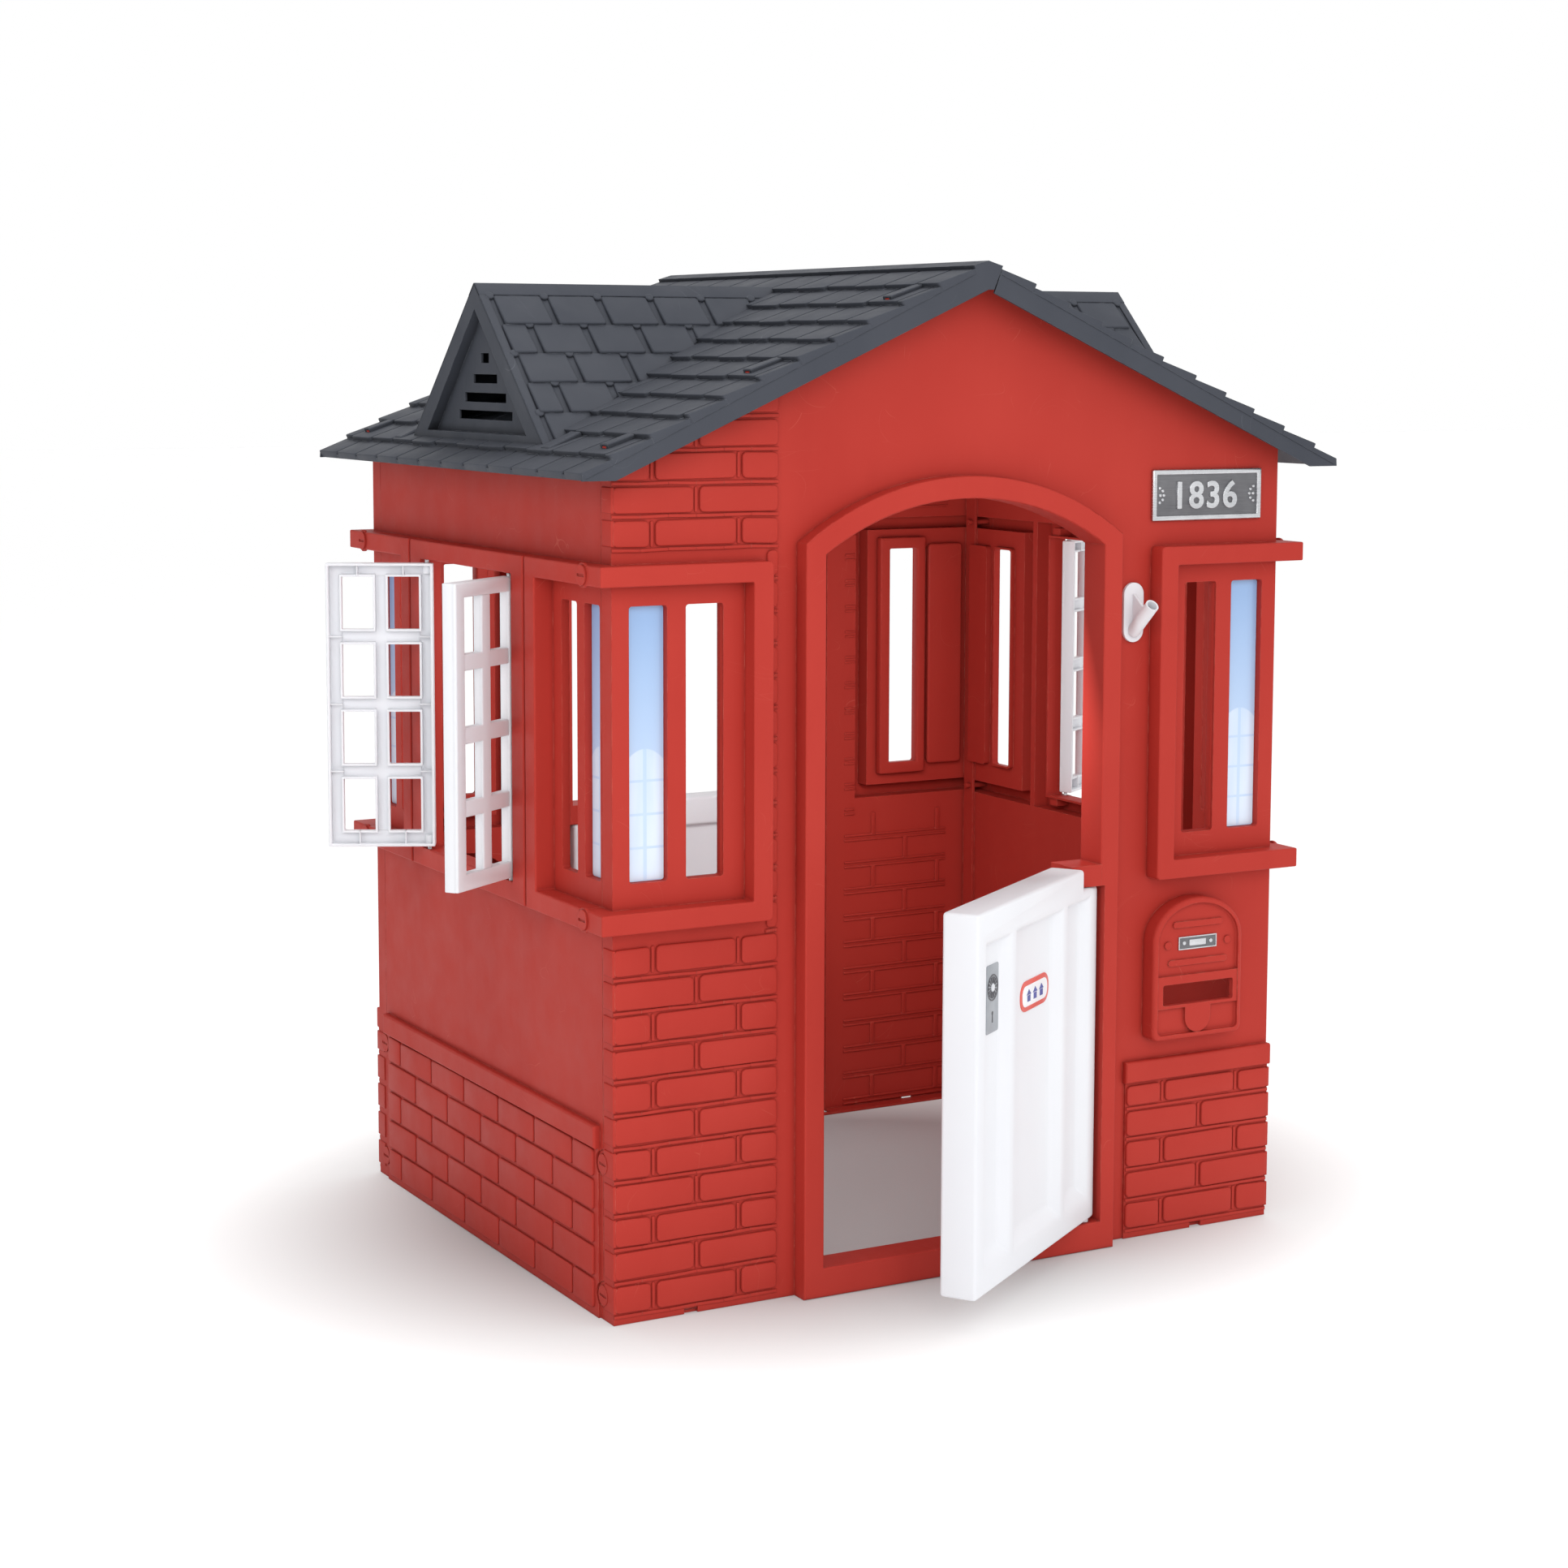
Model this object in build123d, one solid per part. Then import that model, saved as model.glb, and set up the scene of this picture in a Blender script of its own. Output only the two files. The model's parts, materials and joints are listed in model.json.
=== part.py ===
"""Plastic playhouse: two gable walls, two side walls, a two-piece roof with dormers,
two half doors and four window shutters.

Millimetres, +Z up. The origin is the middle of the footprint, on the floor, and the front faces -Y.
Every piece is drawn in wall coordinates (x from the front left corner, y inwards from the front wall,
z up) and moved to the origin when it is written.
"""
from build123d import *
from math import atan2, cos, radians, sin, tan
import os

# ---------------------------------------------------------------- driving dimensions
WIDTH = 950.0                # footprint across the front
DEPTH = 742.0                # footprint front to back
SKIN = 3.2                   # wall thickness of the mouldings
SEAM = 0.6                   # gap between two mouldings that meet edge to edge
MID_X = WIDTH / 2
MID_Y = DEPTH / 2
ORIGIN_Y = 91.8              # origin to the footprint's middle; the open door sets the overall box's middle

# belts and window frames, which stand proud of the walls
PROUD = 25.0
SOFT = 2.0                   # rounding of the raised frames' edges
SILL_Z = (467.0, 491.5)
HEAD_Z = (866.3, 890.1)
RETURN = 27.0                # how far a gable wall wraps round each corner
FRAME_BAR = 26.0             # width of the upright bar beside a corner window
GABLE_WINDOW = 172.0         # corner to the upright bar, gable walls
SIDE_WINDOW = 160.0          # corner to the upright bar, side walls
SIDE_GROOVE = 5.0            # gap between the three frames of a side wall
PANE_Z = (521.0, 842.0)
GABLE_PANES = ((22.0, 71.0), (95.0, 144.0))      # blind pane, open pane, from the corner
SIDE_PANES = ((31.0, 73.0), (93.0, 136.0))
PANE_DEPTH = 10.0
PANE_RIM = 3.0
DECAL = 0.5

# doorway, with a segmental arch
DOOR_X = 466.5               # centre line of the doorway
DOOR_HALF = 198.5
ARCH_Z = 607.0               # height of the arch's centre
ARCH_R = 350.0
SURROUND = 27.0              # width of the raised band round the doorway
REVEAL = 20.0                # how far the doorway's lining goes inwards
THRESHOLD = 36.0

# half doors
DOOR_W = 385.0
DOOR_T = 46.0
DOOR_Z = (40.5, 494.0)
DOOR_HINGE = (654.0, -12.0)  # hinge axis in the front wall
DOOR_EDGE = 10.0             # from the axis to the hinge edge and to the outer face
DOOR_OPEN = 34.5             # the front door stands open by this angle
NOTCH = (47.0, 27.0)         # cut-out round the hinge lug
REBATE = 6.0
PIN_R = 6.0
PIN_GAP = 0.5
DOOR_PANELS = ((26.0, 102.0), (118.0, 268.0), (284.0, 361.0))
PANEL_Z = (71.0, 455.0)
PANEL_DEPTH = 11.0
PANEL_FLARE = 17.0           # sloping sides of a panel, on the hinge side and at the bottom
DOOR_SKIN = 3.5
LABEL = 1.0
LOCK_U = (48.5, 84.5)        # lock plate, from the free edge
LOCK_Z = (343.5, 424.5)
BADGE_AT = (199.5, 365.5)    # badge's middle: from the free edge, and height
BADGE_SIZE = (91.0, 37.0)

# shutters
SHUTTER_HALF = 130.0         # window centre to a shutter's axis
SHUTTER_W = 128.5            # axis to the free edge
SHUTTER_E = 8.0              # axis to the hinge edge
SHUTTER_OUT = 7.0            # axis to the outer face
SHUTTER_T = 19.0
SHUTTER_X = -21.0            # axis outside the side wall's face
SHUTTER_Z = (496.0, 862.0)
SHUTTER_OPEN = (124.5, 117.0)                    # near the front, near the back
WINDOW_HALF = 143.0
SHUTTER_PIN_R = 2.5

# roof
EAVE = 58.0
VERGE = 47.0
EAVE_Z = 988.0
RIDGE_Z = 1240.0
ROOF_EDGE = 8.0              # height of the eave's edge
SHINGLE_ROWS = 10
ROW = 47.4
FIRST_ROW = 41.0
CAP = 21.0                   # half width of the ridge cap
FASCIA_APEX = 1205.6
FASCIA_FOOT = 42.0           # flat part of the fascia's lower edge
TAB_X = (8.5, 192.0, 380.0)  # hooks of the gable walls
HOOK = (8.0, 2.5)            # half width of a hook, and how far it reaches above the roof
HOUSING = (48.0, 20.0, 8.5)  # latch cover over each hook: length, width, height
HOUSING_Y = (-9.0, 11.0)
WALL_GAP = 9.4               # roof surface to the top of the walls
ROOF_SKIN = 8.4              # shingles' top line to the underside
ROW_STEP = 4.0               # each row of shingles covers the top of the row below
SHINGLE_SEAT = 2.4           # the roof's skin lies this far under the shingles' faces

# dormers
DORMER_X = -8.0
DORMER_HALF = 202.0
DORMER_APEX = 1213.5
DORMER_FOOT = 1021.0
DORMER_RECESS = 14.0
DORMER_OPENING = (155.0, 1031.0)
DORMER_WALL = 5.0
DORMER_DROP = 30.0           # dormer's peak to the peak of its recess
LOUVRES = ((1047.0, 1058.0, 83.0), (1068.5, 1080.0, 64.0), (1092.0, 1103.0, 37.0), (1117.0, 1129.0, 12.0))

# masonry and fittings
PLINTH_Z = (204.0, 231.5)
PLINTH_X = 720.0
PLINTH_Y = 35.0              # where the side masonry starts, behind the corner
PLINTH_FIELD = 3.0
PLINTH_CAP = 9.0
MAILBOX_X = (749.0, 889.0)
MAILBOX_Z = (258.0, 440.0)
MAILBOX_SPRING = 385.0
MAILBOX_CORNER = 10.0
MAIL_SLOT = (764.5, 875.0, 303.0, 330.0)
PLATE_X = (751.0, 921.0)
PLATE_Z = (921.0, 985.5)
PLATE_T = 4.0
PLATE_RIM = 7.0
FLAG_X = 724.0
FLAG_Z = (770.0, 845.0)
SCREW_Y = 25.0
SCREW_LOW = (30.0, 188.0)
SCREW_R = 12.0
EAR_R = 16.0
BOSS_R = 14.5

SLOPE = atan2(RIDGE_Z - (EAVE_Z + ROOF_EDGE), MID_X + EAVE)


# ---------------------------------------------------------------- helpers
def block(x0, x1, y0, y1, z0, z1):
    """Box between two corners."""
    size = Box(x1 - x0, y1 - y0, z1 - z0)
    return Pos((x0 + x1) / 2, (y0 + y1) / 2, (z0 + z1) / 2) * size


def front_prism(outline, y0, y1):
    """Solid of an (x, z) outline between two depths."""
    plane = Plane(origin=(0, y1, 0), x_dir=(1, 0, 0), z_dir=(0, -1, 0))
    return extrude(plane * outline, amount=y1 - y0)


def side_prism(outline, x0, x1):
    """Solid of a (y, z) outline between two x positions."""
    plane = Plane(origin=(x0, 0, 0), x_dir=(0, 1, 0), z_dir=(1, 0, 0))
    return extrude(plane * outline, amount=x1 - x0)


def shape(*points):
    """Filled polygon."""
    return make_face(Polyline(*points, close=True))


def panel(a0, a1, b0, b1, radius=0.0):
    """Filled rectangle between two corners, with round corners if asked."""
    if radius:
        return Pos((a0 + a1) / 2, (b0 + b1) / 2) * RectangleRounded(a1 - a0, b1 - b0, radius)
    return Pos((a0 + a1) / 2, (b0 + b1) / 2) * Rectangle(a1 - a0, b1 - b0)


def upright(radius, x, y, z0, z1):
    """Vertical cylinder."""
    return Pos(x, y, (z0 + z1) / 2) * Cylinder(radius, z1 - z0)


def across(radius, x0, x1, y, z):
    """Cylinder along x."""
    return Pos((x0 + x1) / 2, y, z) * Rot(0, 90, 0) * Cylinder(radius, x1 - x0)


def roof_z(x):
    """Height of the shingles' top line over the left slope."""
    return EAVE_Z + ROOF_EDGE + (x + EAVE) * tan(SLOPE)


def mirror_x(part):
    """The same piece at the other side of the ridge."""
    return mirror(part, about=Plane(origin=(MID_X, 0, 0), x_dir=(0, 1, 0), z_dir=(1, 0, 0)))


def mirror_y(part):
    """The same piece at the other end of the house."""
    return mirror(part, about=Plane(origin=(0, MID_Y, 0), x_dir=(1, 0, 0), z_dir=(0, 1, 0)))


def turned(part):
    """The same moulding at the opposite side of the house."""
    return Pos(MID_X, MID_Y, 0) * Rot(0, 0, 180) * Pos(-MID_X, -MID_Y, 0) * part


def rounded(part, radius, chosen):
    """Round the edges whose middle point is chosen."""
    return fillet(part.edges().filter_by(lambda edge: chosen(edge @ 0.5)), radius)


# ---------------------------------------------------------------- corner frames and windows
def belt_corner(z0, z1, length, inset=0.0):
    """One belt round the front left corner, outside the walls."""
    out = -PROUD + inset
    low = z0 + inset
    high = z1 - inset
    end = length - inset
    along = block(out, end, out, SKIN * (inset > 0), low, high)
    back = RETURN + 1.0 * (inset > 0)
    return along + block(out, SKIN * (inset > 0), out, back, low, high)


def gable_frame(inset=0.0):
    """Raised frame of a corner window on a gable wall: two belts and an upright bar."""
    end = GABLE_WINDOW + FRAME_BAR
    deep = SKIN * (inset > 0)
    bar = block(GABLE_WINDOW + inset, end - inset, -PROUD + inset, deep, SILL_Z[0] + inset, HEAD_Z[1] - inset)
    return belt_corner(*SILL_Z, end, inset) + belt_corner(*HEAD_Z, end, inset) + bar


def pane_sockets(panes):
    """Rims of two panes, as (outline, depth) rings pushed inwards."""
    rims = [panel(a0 - PANE_RIM, a1 + PANE_RIM, PANE_Z[0] - PANE_RIM, PANE_Z[1] + PANE_RIM, 6.0)
            for a0, a1 in panes]
    holes = [panel(a0, a1, *PANE_Z, 4.0) for a0, a1 in panes]
    return rims, holes


# ---------------------------------------------------------------- gable wall
def gable_outline():
    """Outline of the gable wall, under the roof."""
    top = roof_z(0) - WALL_GAP
    apex = RIDGE_Z - WALL_GAP
    return shape((0, 0), (WIDTH, 0), (WIDTH, top), (MID_X, apex), (0, top))


def arch(half, radius, foot):
    """Doorway outline: two uprights and a segmental arch."""
    rise = (radius ** 2 - half ** 2) ** 0.5
    spring = ARCH_Z + rise
    left = DOOR_X - half
    right = DOOR_X + half
    edges = Polyline((left, spring), (left, foot), (right, foot), (right, spring))
    curve = ThreePointArc((right, spring), (DOOR_X, ARCH_Z + radius), (left, spring))
    return make_face([*edges.edges(), curve])


def door_surround():
    """Raised band, lining, threshold and hinge lug, as one hollow moulding."""
    outer = arch(DOOR_HALF + SURROUND, ARCH_R + SURROUND, 0)
    inner = arch(DOOR_HALF, ARCH_R, THRESHOLD)
    band = rounded(front_prism(outer - inner, -PROUD, 0), SOFT, lambda p: p.Y < -PROUD + 0.1)
    lining = front_prism(arch(DOOR_HALF + REBATE + SKIN, ARCH_R + SKIN, 0) - inner, 0, REVEAL)
    hollow = arch(DOOR_HALF + SURROUND - SKIN, ARCH_R + SURROUND - SKIN, -1)
    hollow -= arch(DOOR_HALF + REBATE + SKIN, ARCH_R + SKIN, THRESHOLD - SKIN)
    hollow = front_prism(hollow, -PROUD + SKIN, REVEAL + 1)
    jamb = DOOR_X + DOOR_HALF
    notch_x = DOOR_HINGE[0] + DOOR_EDGE - NOTCH[0] + 3.0
    lug_z = DOOR_Z[1] - NOTCH[1]
    lug = block(notch_x, jamb + 1, -PROUD, REVEAL, lug_z + 1.0, DOOR_Z[1] + 1.0)
    rebate = block(jamb - 1, jamb + REBATE, -PROUD - 1, REVEAL + 1, THRESHOLD, lug_z + 1.0)
    hole_r = PIN_R + PIN_GAP
    top_hole = upright(hole_r, *DOOR_HINGE, lug_z, lug_z + 21.0)
    low_hole = upright(hole_r, *DOOR_HINGE, THRESHOLD - SKIN - 1, THRESHOLD + 1)
    return band + lining - hollow + lug - rebate - top_hole - low_hole, hollow


def mailbox():
    """Raised arched letter box with a slot; returns the solid and the opening behind it."""
    x0, x1 = MAILBOX_X
    z0, z1 = MAILBOX_Z

    def outline(inset):
        """Arched plate, inset all round."""
        half = (x1 - x0) / 2 - inset
        radius = MAILBOX_CORNER - inset / 2
        plate = panel(x0 + inset, x1 - inset, z0 + inset, MAILBOX_SPRING + radius, radius)
        return plate + Pos((x0 + x1) / 2, MAILBOX_SPRING) * Ellipse(half, z1 - inset - MAILBOX_SPRING)

    body = rounded(front_prism(outline(0), -PROUD, SKIN), 5.0, lambda p: p.Y < -PROUD + 0.1)
    hollow = front_prism(outline(SKIN), -PROUD + 9.0, SKIN + 1)
    dish = rounded(front_prism(outline(7.0), -PROUD - 1, -PROUD + 5.0), 1.5, lambda p: p.Y > -PROUD + 4.9)
    s0, s1, t0, t1 = MAIL_SLOT
    band = block(x0 + 7, x1 - 7, -PROUD + 1, -PROUD + 5, t0 - 4, t1 + 11)
    mid = (s0 + s1) / 2
    tongue = block(mid - 20, mid + 20, -PROUD + 1, -PROUD + 5, t0 - 18, t0)
    tongue += Pos(mid, -PROUD + 3, t0 - 18) * Rot(90, 0, 0) * Cylinder(20, 4)
    ribs = Part() + [
        front_prism(Pos(mid, z) * SlotOverall(length, 8), -PROUD + 3, -PROUD + 5)
        for z, length in ((406.0, 78.0), (357.0, 92.0))
    ]
    studs = Part() + [
        Pos(mid + side * 47, -PROUD + 4, 380.5) * Rot(90, 0, 0) * Cylinder(5.0, 2.0) for side in (-1, 1)
    ]
    slot = front_prism(panel(s0, s1, t0, t1, 3.0), -PROUD - 1, SKIN + 2)
    return body - hollow - dish + band + tongue + ribs + studs - slot, hollow + slot


def brick_plinth(x0, x1):
    """Raised lower masonry with a smooth cap, on a front face."""
    field = block(x0 + 3, x1, -PLINTH_FIELD, 0, 0, PLINTH_Z[0])
    cap = block(x0, x1, -PLINTH_CAP, 0, *PLINTH_Z)
    cap = rounded(cap, 3.0, lambda p: p.Y < 0.1 - PLINTH_CAP and p.X < x1 - 1)
    return field + cap


def wall_ears():
    """Round ears that reach over the seam at each screw of one corner."""
    low = [across(EAR_R, 0, SKIN, SCREW_Y, z) for z in SCREW_LOW]
    belts = [across(BOSS_R, -PROUD, -PROUD + SKIN, SCREW_Y, (z[0] + z[1]) / 2) for z in (SILL_Z, HEAD_Z)]
    return low + belts


def corner_half():
    """Everything that a gable wall has at one corner: frame, return and ears."""
    wrap = block(0, SKIN, 0, RETURN, 0, roof_z(0) - WALL_GAP - 2)
    frame = gable_frame()
    frame = fillet(frame.edges().filter_by(Axis.Y).group_by(Axis.X)[-1], 6.0)
    frame = rounded(frame, SOFT, lambda p: min(p.X, p.Y) < -0.1 and p.Y < RETURN - 0.1)
    return wrap + frame + wall_ears()


def screw_holes():
    """Shank holes of the four screws of one corner, along x."""
    heights = [*SCREW_LOW, sum(SILL_Z) / 2, sum(HEAD_Z) / 2]
    return [across(4.5, -PROUD - 1, 16.0, SCREW_Y, z) for z in heights]


def roof_tabs():
    """Hooks on top of the gable that pass through the roof."""
    tabs = []
    for x in TAB_X:
        tab = block(x - HOOK[0], x + HOOK[0], 0, SKIN, roof_z(x) - WALL_GAP - 6, roof_z(x) + HOOK[1])
        tabs += [tab, mirror_x(tab)]
    return tabs


def gable_wall():
    """Front wall; the back wall is the same moulding turned round."""
    wall = front_prism(gable_outline(), 0, SKIN)
    doorway = front_prism(arch(DOOR_HALF, ARCH_R, THRESHOLD), -PROUD - 1, REVEAL + 1)
    surround, surround_hollow = door_surround()
    letter_box, letter_hollow = mailbox()
    corners = corner_half()
    corners += mirror_x(corners)
    channels = gable_frame(SKIN)
    channels += mirror_x(channels)
    foot = block(0, WIDTH, 0, RETURN, 0, SKIN)
    wall += corners
    wall += foot
    wall -= channels
    wall -= front_prism(arch(DOOR_HALF + 2, ARCH_R + 2, -1), -1, RETURN + 1)
    wall -= surround_hollow
    wall -= letter_hollow
    wall += surround
    wall += letter_box
    wall += brick_plinth(PLINTH_X, WIDTH)
    rims, holes = pane_sockets(GABLE_PANES)
    for rim, hole, blind in zip(rims, holes, (True, False)):
        socket = front_prism(rim, 0, PANE_DEPTH + PANE_RIM * blind)
        opening = front_prism(hole, -1, PANE_DEPTH + 1 * (not blind))
        wall += socket + mirror_x(socket)
        wall -= opening + mirror_x(opening)
    wall += roof_tabs()
    cuts = screw_holes()
    wall -= cuts
    wall -= [mirror_x(cut) for cut in cuts]
    wall -= block(92, 110, -1, SKIN + 1, -1, 7)
    wall -= block(828, 846, -10, SKIN + 1, -1, 7)
    return wall


# ---------------------------------------------------------------- side wall
def side_belts(y0, y1, inset=0.0):
    """The two belts between two places along the left wall."""
    out = -PROUD + inset
    deep = SKIN * (inset > 0)
    belts = Part()
    for low, high in (SILL_Z, HEAD_Z):
        belts += block(out, deep, y0, y1, low + inset, high - inset)
    return belts


def side_bar(y0, y1, inset=0.0):
    """Upright bar of a window frame on the left wall."""
    deep = SKIN * (inset > 0)
    return block(-PROUD + inset, deep, y0 + inset, y1 - inset, SILL_Z[0] + inset, HEAD_Z[1] - inset)


def side_half():
    """Corner frame and half of the middle frame; returns the solid and its channel."""
    corner_end = SIDE_WINDOW + FRAME_BAR + 2.0
    middle = corner_end + SIDE_GROOVE
    seam = RETURN + SEAM
    solid = side_belts(seam, corner_end) + side_bar(SIDE_WINDOW, corner_end)
    solid += side_belts(middle, MID_Y) + side_bar(middle, MID_Y - WINDOW_HALF)
    channel = side_belts(seam - 1, corner_end - SKIN, SKIN) + side_bar(SIDE_WINDOW, corner_end, SKIN)
    channel += side_belts(middle + SKIN, MID_Y, SKIN) + side_bar(middle, MID_Y - WINDOW_HALF, SKIN)
    solid = rounded(solid, SOFT, lambda p: p.X < -0.1 and seam + 0.1 < p.Y < MID_Y - 0.1)
    joint = block(-PROUD + 12.0, 0, corner_end, middle, SILL_Z[0], HEAD_Z[1])
    joint -= block(-PROUD, 0, corner_end, middle, SILL_Z[1], HEAD_Z[0])
    return solid + joint, channel


def shutter_sockets():
    """Blocks in the belts that hold a shutter's pins, and their holes."""
    y = MID_Y - SHUTTER_HALF
    blocks = [block(-PROUD, 0, y - 9, y + 9, SILL_Z[1] - 14, SILL_Z[1]),
              block(-PROUD, 0, y - 9, y + 9, HEAD_Z[0], HEAD_Z[0] + 14)]
    radius = SHUTTER_PIN_R + 0.4
    holes = [upright(radius, SHUTTER_X, y, SILL_Z[1] - 10, SILL_Z[1] + 1),
             upright(radius, SHUTTER_X, y, HEAD_Z[0] - 1, HEAD_Z[0] + 10)]
    return blocks, holes


def side_wall():
    """Left wall, without its lower fittings' mirror; the right wall is the same moulding turned round."""
    top = roof_z(0) - WALL_GAP - 2
    seam = RETURN + SEAM
    wall = block(0, SKIN, seam, DEPTH - seam, 0, top)
    step = block(0, 2 * SKIN + SEAM, seam, seam + 7, 5, top)
    lap = block(SKIN + SEAM, 2 * SKIN + SEAM, 10, seam + 7, 5, top)
    frames, channels = side_half()
    blocks, holes = shutter_sockets()
    masonry = block(-PLINTH_FIELD, 0, PLINTH_Y, MID_Y, 0, PLINTH_Z[0])
    cap = block(-PLINTH_CAP, 0, PLINTH_Y, MID_Y, *PLINTH_Z)
    masonry += rounded(cap, 3.0, lambda p: p.X < 0.1 - PLINTH_CAP and p.Y < MID_Y - 1)
    foot = block(0, RETURN, seam, MID_Y, 0, SKIN)
    half = step + lap + frames + masonry + foot
    wall += [half, mirror_y(half)]
    wall -= [channels, mirror_y(channels)]
    wall += [*blocks, *(mirror_y(piece) for piece in blocks)]
    wall -= [*holes, *(mirror_y(hole) for hole in holes)]
    window = block(-PROUD - 1, SKIN + 1, MID_Y - WINDOW_HALF, MID_Y + WINDOW_HALF, SILL_Z[1], HEAD_Z[0])
    wall -= window
    rims, openings = pane_sockets(SIDE_PANES)
    for rim, hole, blind in zip(rims, openings, (True, False)):
        socket = side_prism(rim, 0, PANE_DEPTH + PANE_RIM * blind)
        opening = side_prism(hole, -1, PANE_DEPTH + 1 * (not blind))
        wall += [socket, mirror_y(socket)]
        wall -= [opening, mirror_y(opening)]
    clear = [across(EAR_R + SEAM, -12, SKIN + SEAM / 2, SCREW_Y, z) for z in SCREW_LOW]
    clear += [across(BOSS_R + SEAM, -PROUD - 1, -PROUD + SKIN + SEAM, SCREW_Y, sum(z) / 2)
              for z in (SILL_Z, HEAD_Z)]
    clear += screw_holes()
    wall -= [*clear, *(mirror_y(cut) for cut in clear)]
    return wall


# ---------------------------------------------------------------- doors and shutters
def door_panel(u0, u1, margin):
    """Sunk panel in a door's outer face, grown by a margin; u runs from the free edge."""
    deep = PANEL_DEPTH + margin
    out = -1 - margin
    low, high = PANEL_Z[0] - margin, PANEL_Z[1] + margin
    start, end = u0 - margin, u1 + margin
    plan = shape((start, out), (start, deep), (end - PANEL_FLARE, deep), (end, out))
    side = shape((out, low), (deep, low + PANEL_FLARE), (deep, high), (out, high))
    return extrude(Pos(0, 0, low) * plan, amount=high - low) & side_prism(side, u0 - 9, u1 + 9)


def door_body():
    """Half door in the closed position: u across from the free edge, v inwards from the outer face."""
    z0, z1 = DOOR_Z
    door = block(0, DOOR_W, 0, DOOR_T, z0, z1)
    door -= block(DOOR_W - NOTCH[0], DOOR_W + 1, -1, DOOR_T + 1, z1 - NOTCH[1], z1 + 1)
    uprights = door.edges().filter_by(Axis.Z)
    door = fillet(uprights, 5.0)
    right = DOOR_W - NOTCH[0] - DOOR_SKIN
    hollow = block(DOOR_SKIN, right, DOOR_SKIN, DOOR_T - DOOR_SKIN, z0 + DOOR_SKIN, z1 - DOOR_SKIN)
    for u0, u1 in DOOR_PANELS:
        outside = door_panel(u0, u1, 0.0)
        door -= outside
        door -= Pos(0, DOOR_T, 0) * mirror(outside, about=Plane.XZ)
        grown = door_panel(u0, u1, DOOR_SKIN)
        hollow -= grown
        hollow -= Pos(0, DOOR_T, 0) * mirror(grown, about=Plane.XZ)
    return door - hollow


def front_door(angle):
    """Half door on its pins, opened by an angle; drawn in the front wall."""
    x, y = DOOR_HINGE
    body = Pos(x + DOOR_EDGE - DOOR_W, y - DOOR_EDGE, 0) * door_body()
    body += upright(PIN_R, x, y, DOOR_Z[1] - NOTCH[1] - 1, DOOR_Z[1] - NOTCH[1] + 19)
    body += upright(PIN_R, x, y, THRESHOLD - SKIN, DOOR_Z[0] + 1)
    return Pos(x, y, 0) * Rot(0, 0, angle) * Pos(-x, -y, 0) * body


def shutter_panes():
    """Outlines of a shutter's eight panes; u runs from the axis to the free edge."""
    left = 10.0
    rows = [20.0 + 87.0 * k for k in range(4)]
    return [panel(u, u + 40, SHUTTER_Z[0] + z, SHUTTER_Z[0] + z + 67.5, 4.0)
            for u in (left, left + 58.8) for z in rows]


def shutter_body():
    """Window shutter: u across from its axis, v inwards from its outer face."""
    z0, z1 = SHUTTER_Z
    edge = -SHUTTER_E
    outline = panel(edge, SHUTTER_W, z0, z1, 4.0)
    body = front_prism(outline, 0, SHUTTER_T)
    inside = front_prism(panel(edge + 3.5, SHUTTER_W - 3.5, z0 + 3.5, z1 - 3.5), 5.0, SHUTTER_T + 1)
    panes = shutter_panes()
    for pane in panes:
        inside -= front_prism(offset(pane, 3.0), 0, SHUTTER_T - 5.0)
    for z in [z0 + 97.25 + 87.0 * k for k in range(3)]:
        inside -= block(edge, 12, 0, SHUTTER_T - 3, z - 1.5, z + 1.5)
        inside -= block(SHUTTER_W - 22, SHUTTER_W, 0, SHUTTER_T - 3, z - 1.5, z + 1.5)
    for u in (30.0, 88.8):
        inside -= block(u - 1.5, u + 1.5, 0, SHUTTER_T - 3, z0, z0 + 22)
        inside -= block(u - 1.5, u + 1.5, 0, SHUTTER_T - 3, z1 - 19, z1)
    inside -= upright(6.0, 0, SHUTTER_OUT, z0, z0 + 16)
    inside -= upright(6.0, 0, SHUTTER_OUT, z1 - 16, z1)
    body -= inside
    for pane in panes:
        body -= front_prism(pane, -1, SHUTTER_T + 1)
    body += upright(SHUTTER_PIN_R, 0, SHUTTER_OUT, z0 - 12, z0 + 2)
    body += upright(SHUTTER_PIN_R, 0, SHUTTER_OUT, z1 - 2, z1 + 12)
    return body


def left_shutter(angle):
    """Shutter at the front of the left window, opened outwards by an angle."""
    body = Rot(0, 0, 90) * mirror(Pos(0, -SHUTTER_OUT, 0) * shutter_body(), about=Plane.XZ)
    return Pos(SHUTTER_X, MID_Y - SHUTTER_HALF, 0) * Rot(0, 0, angle) * body


# ---------------------------------------------------------------- roof
def slope_point(s, n):
    """Point of the left slope's section: s up the slope from the eave, n above it."""
    return (-EAVE + s * cos(SLOPE) - n * sin(SLOPE), EAVE_Z + ROOF_EDGE + s * sin(SLOPE) + n * cos(SLOPE))


def slope_plane(y):
    """Plane on the left slope: x up the slope, y to the back."""
    x, z = slope_point(0, 0)
    return Plane(origin=(x, y, z), x_dir=(cos(SLOPE), 0, sin(SLOPE)), z_dir=(-sin(SLOPE), 0, cos(SLOPE)))


def shingle_points(last):
    """Section of the shingle rows, up to a distance from the eave."""
    starts = [0.0] + [(FIRST_ROW + ROW * k) / cos(SLOPE) for k in range(SHINGLE_ROWS)]
    points = []
    for start, end in zip(starts, [*starts[1:], last]):
        points.append(slope_point(start, -SHINGLE_SEAT))
        points.append(slope_point(end, -SHINGLE_SEAT - ROW_STEP))
    return points


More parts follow.
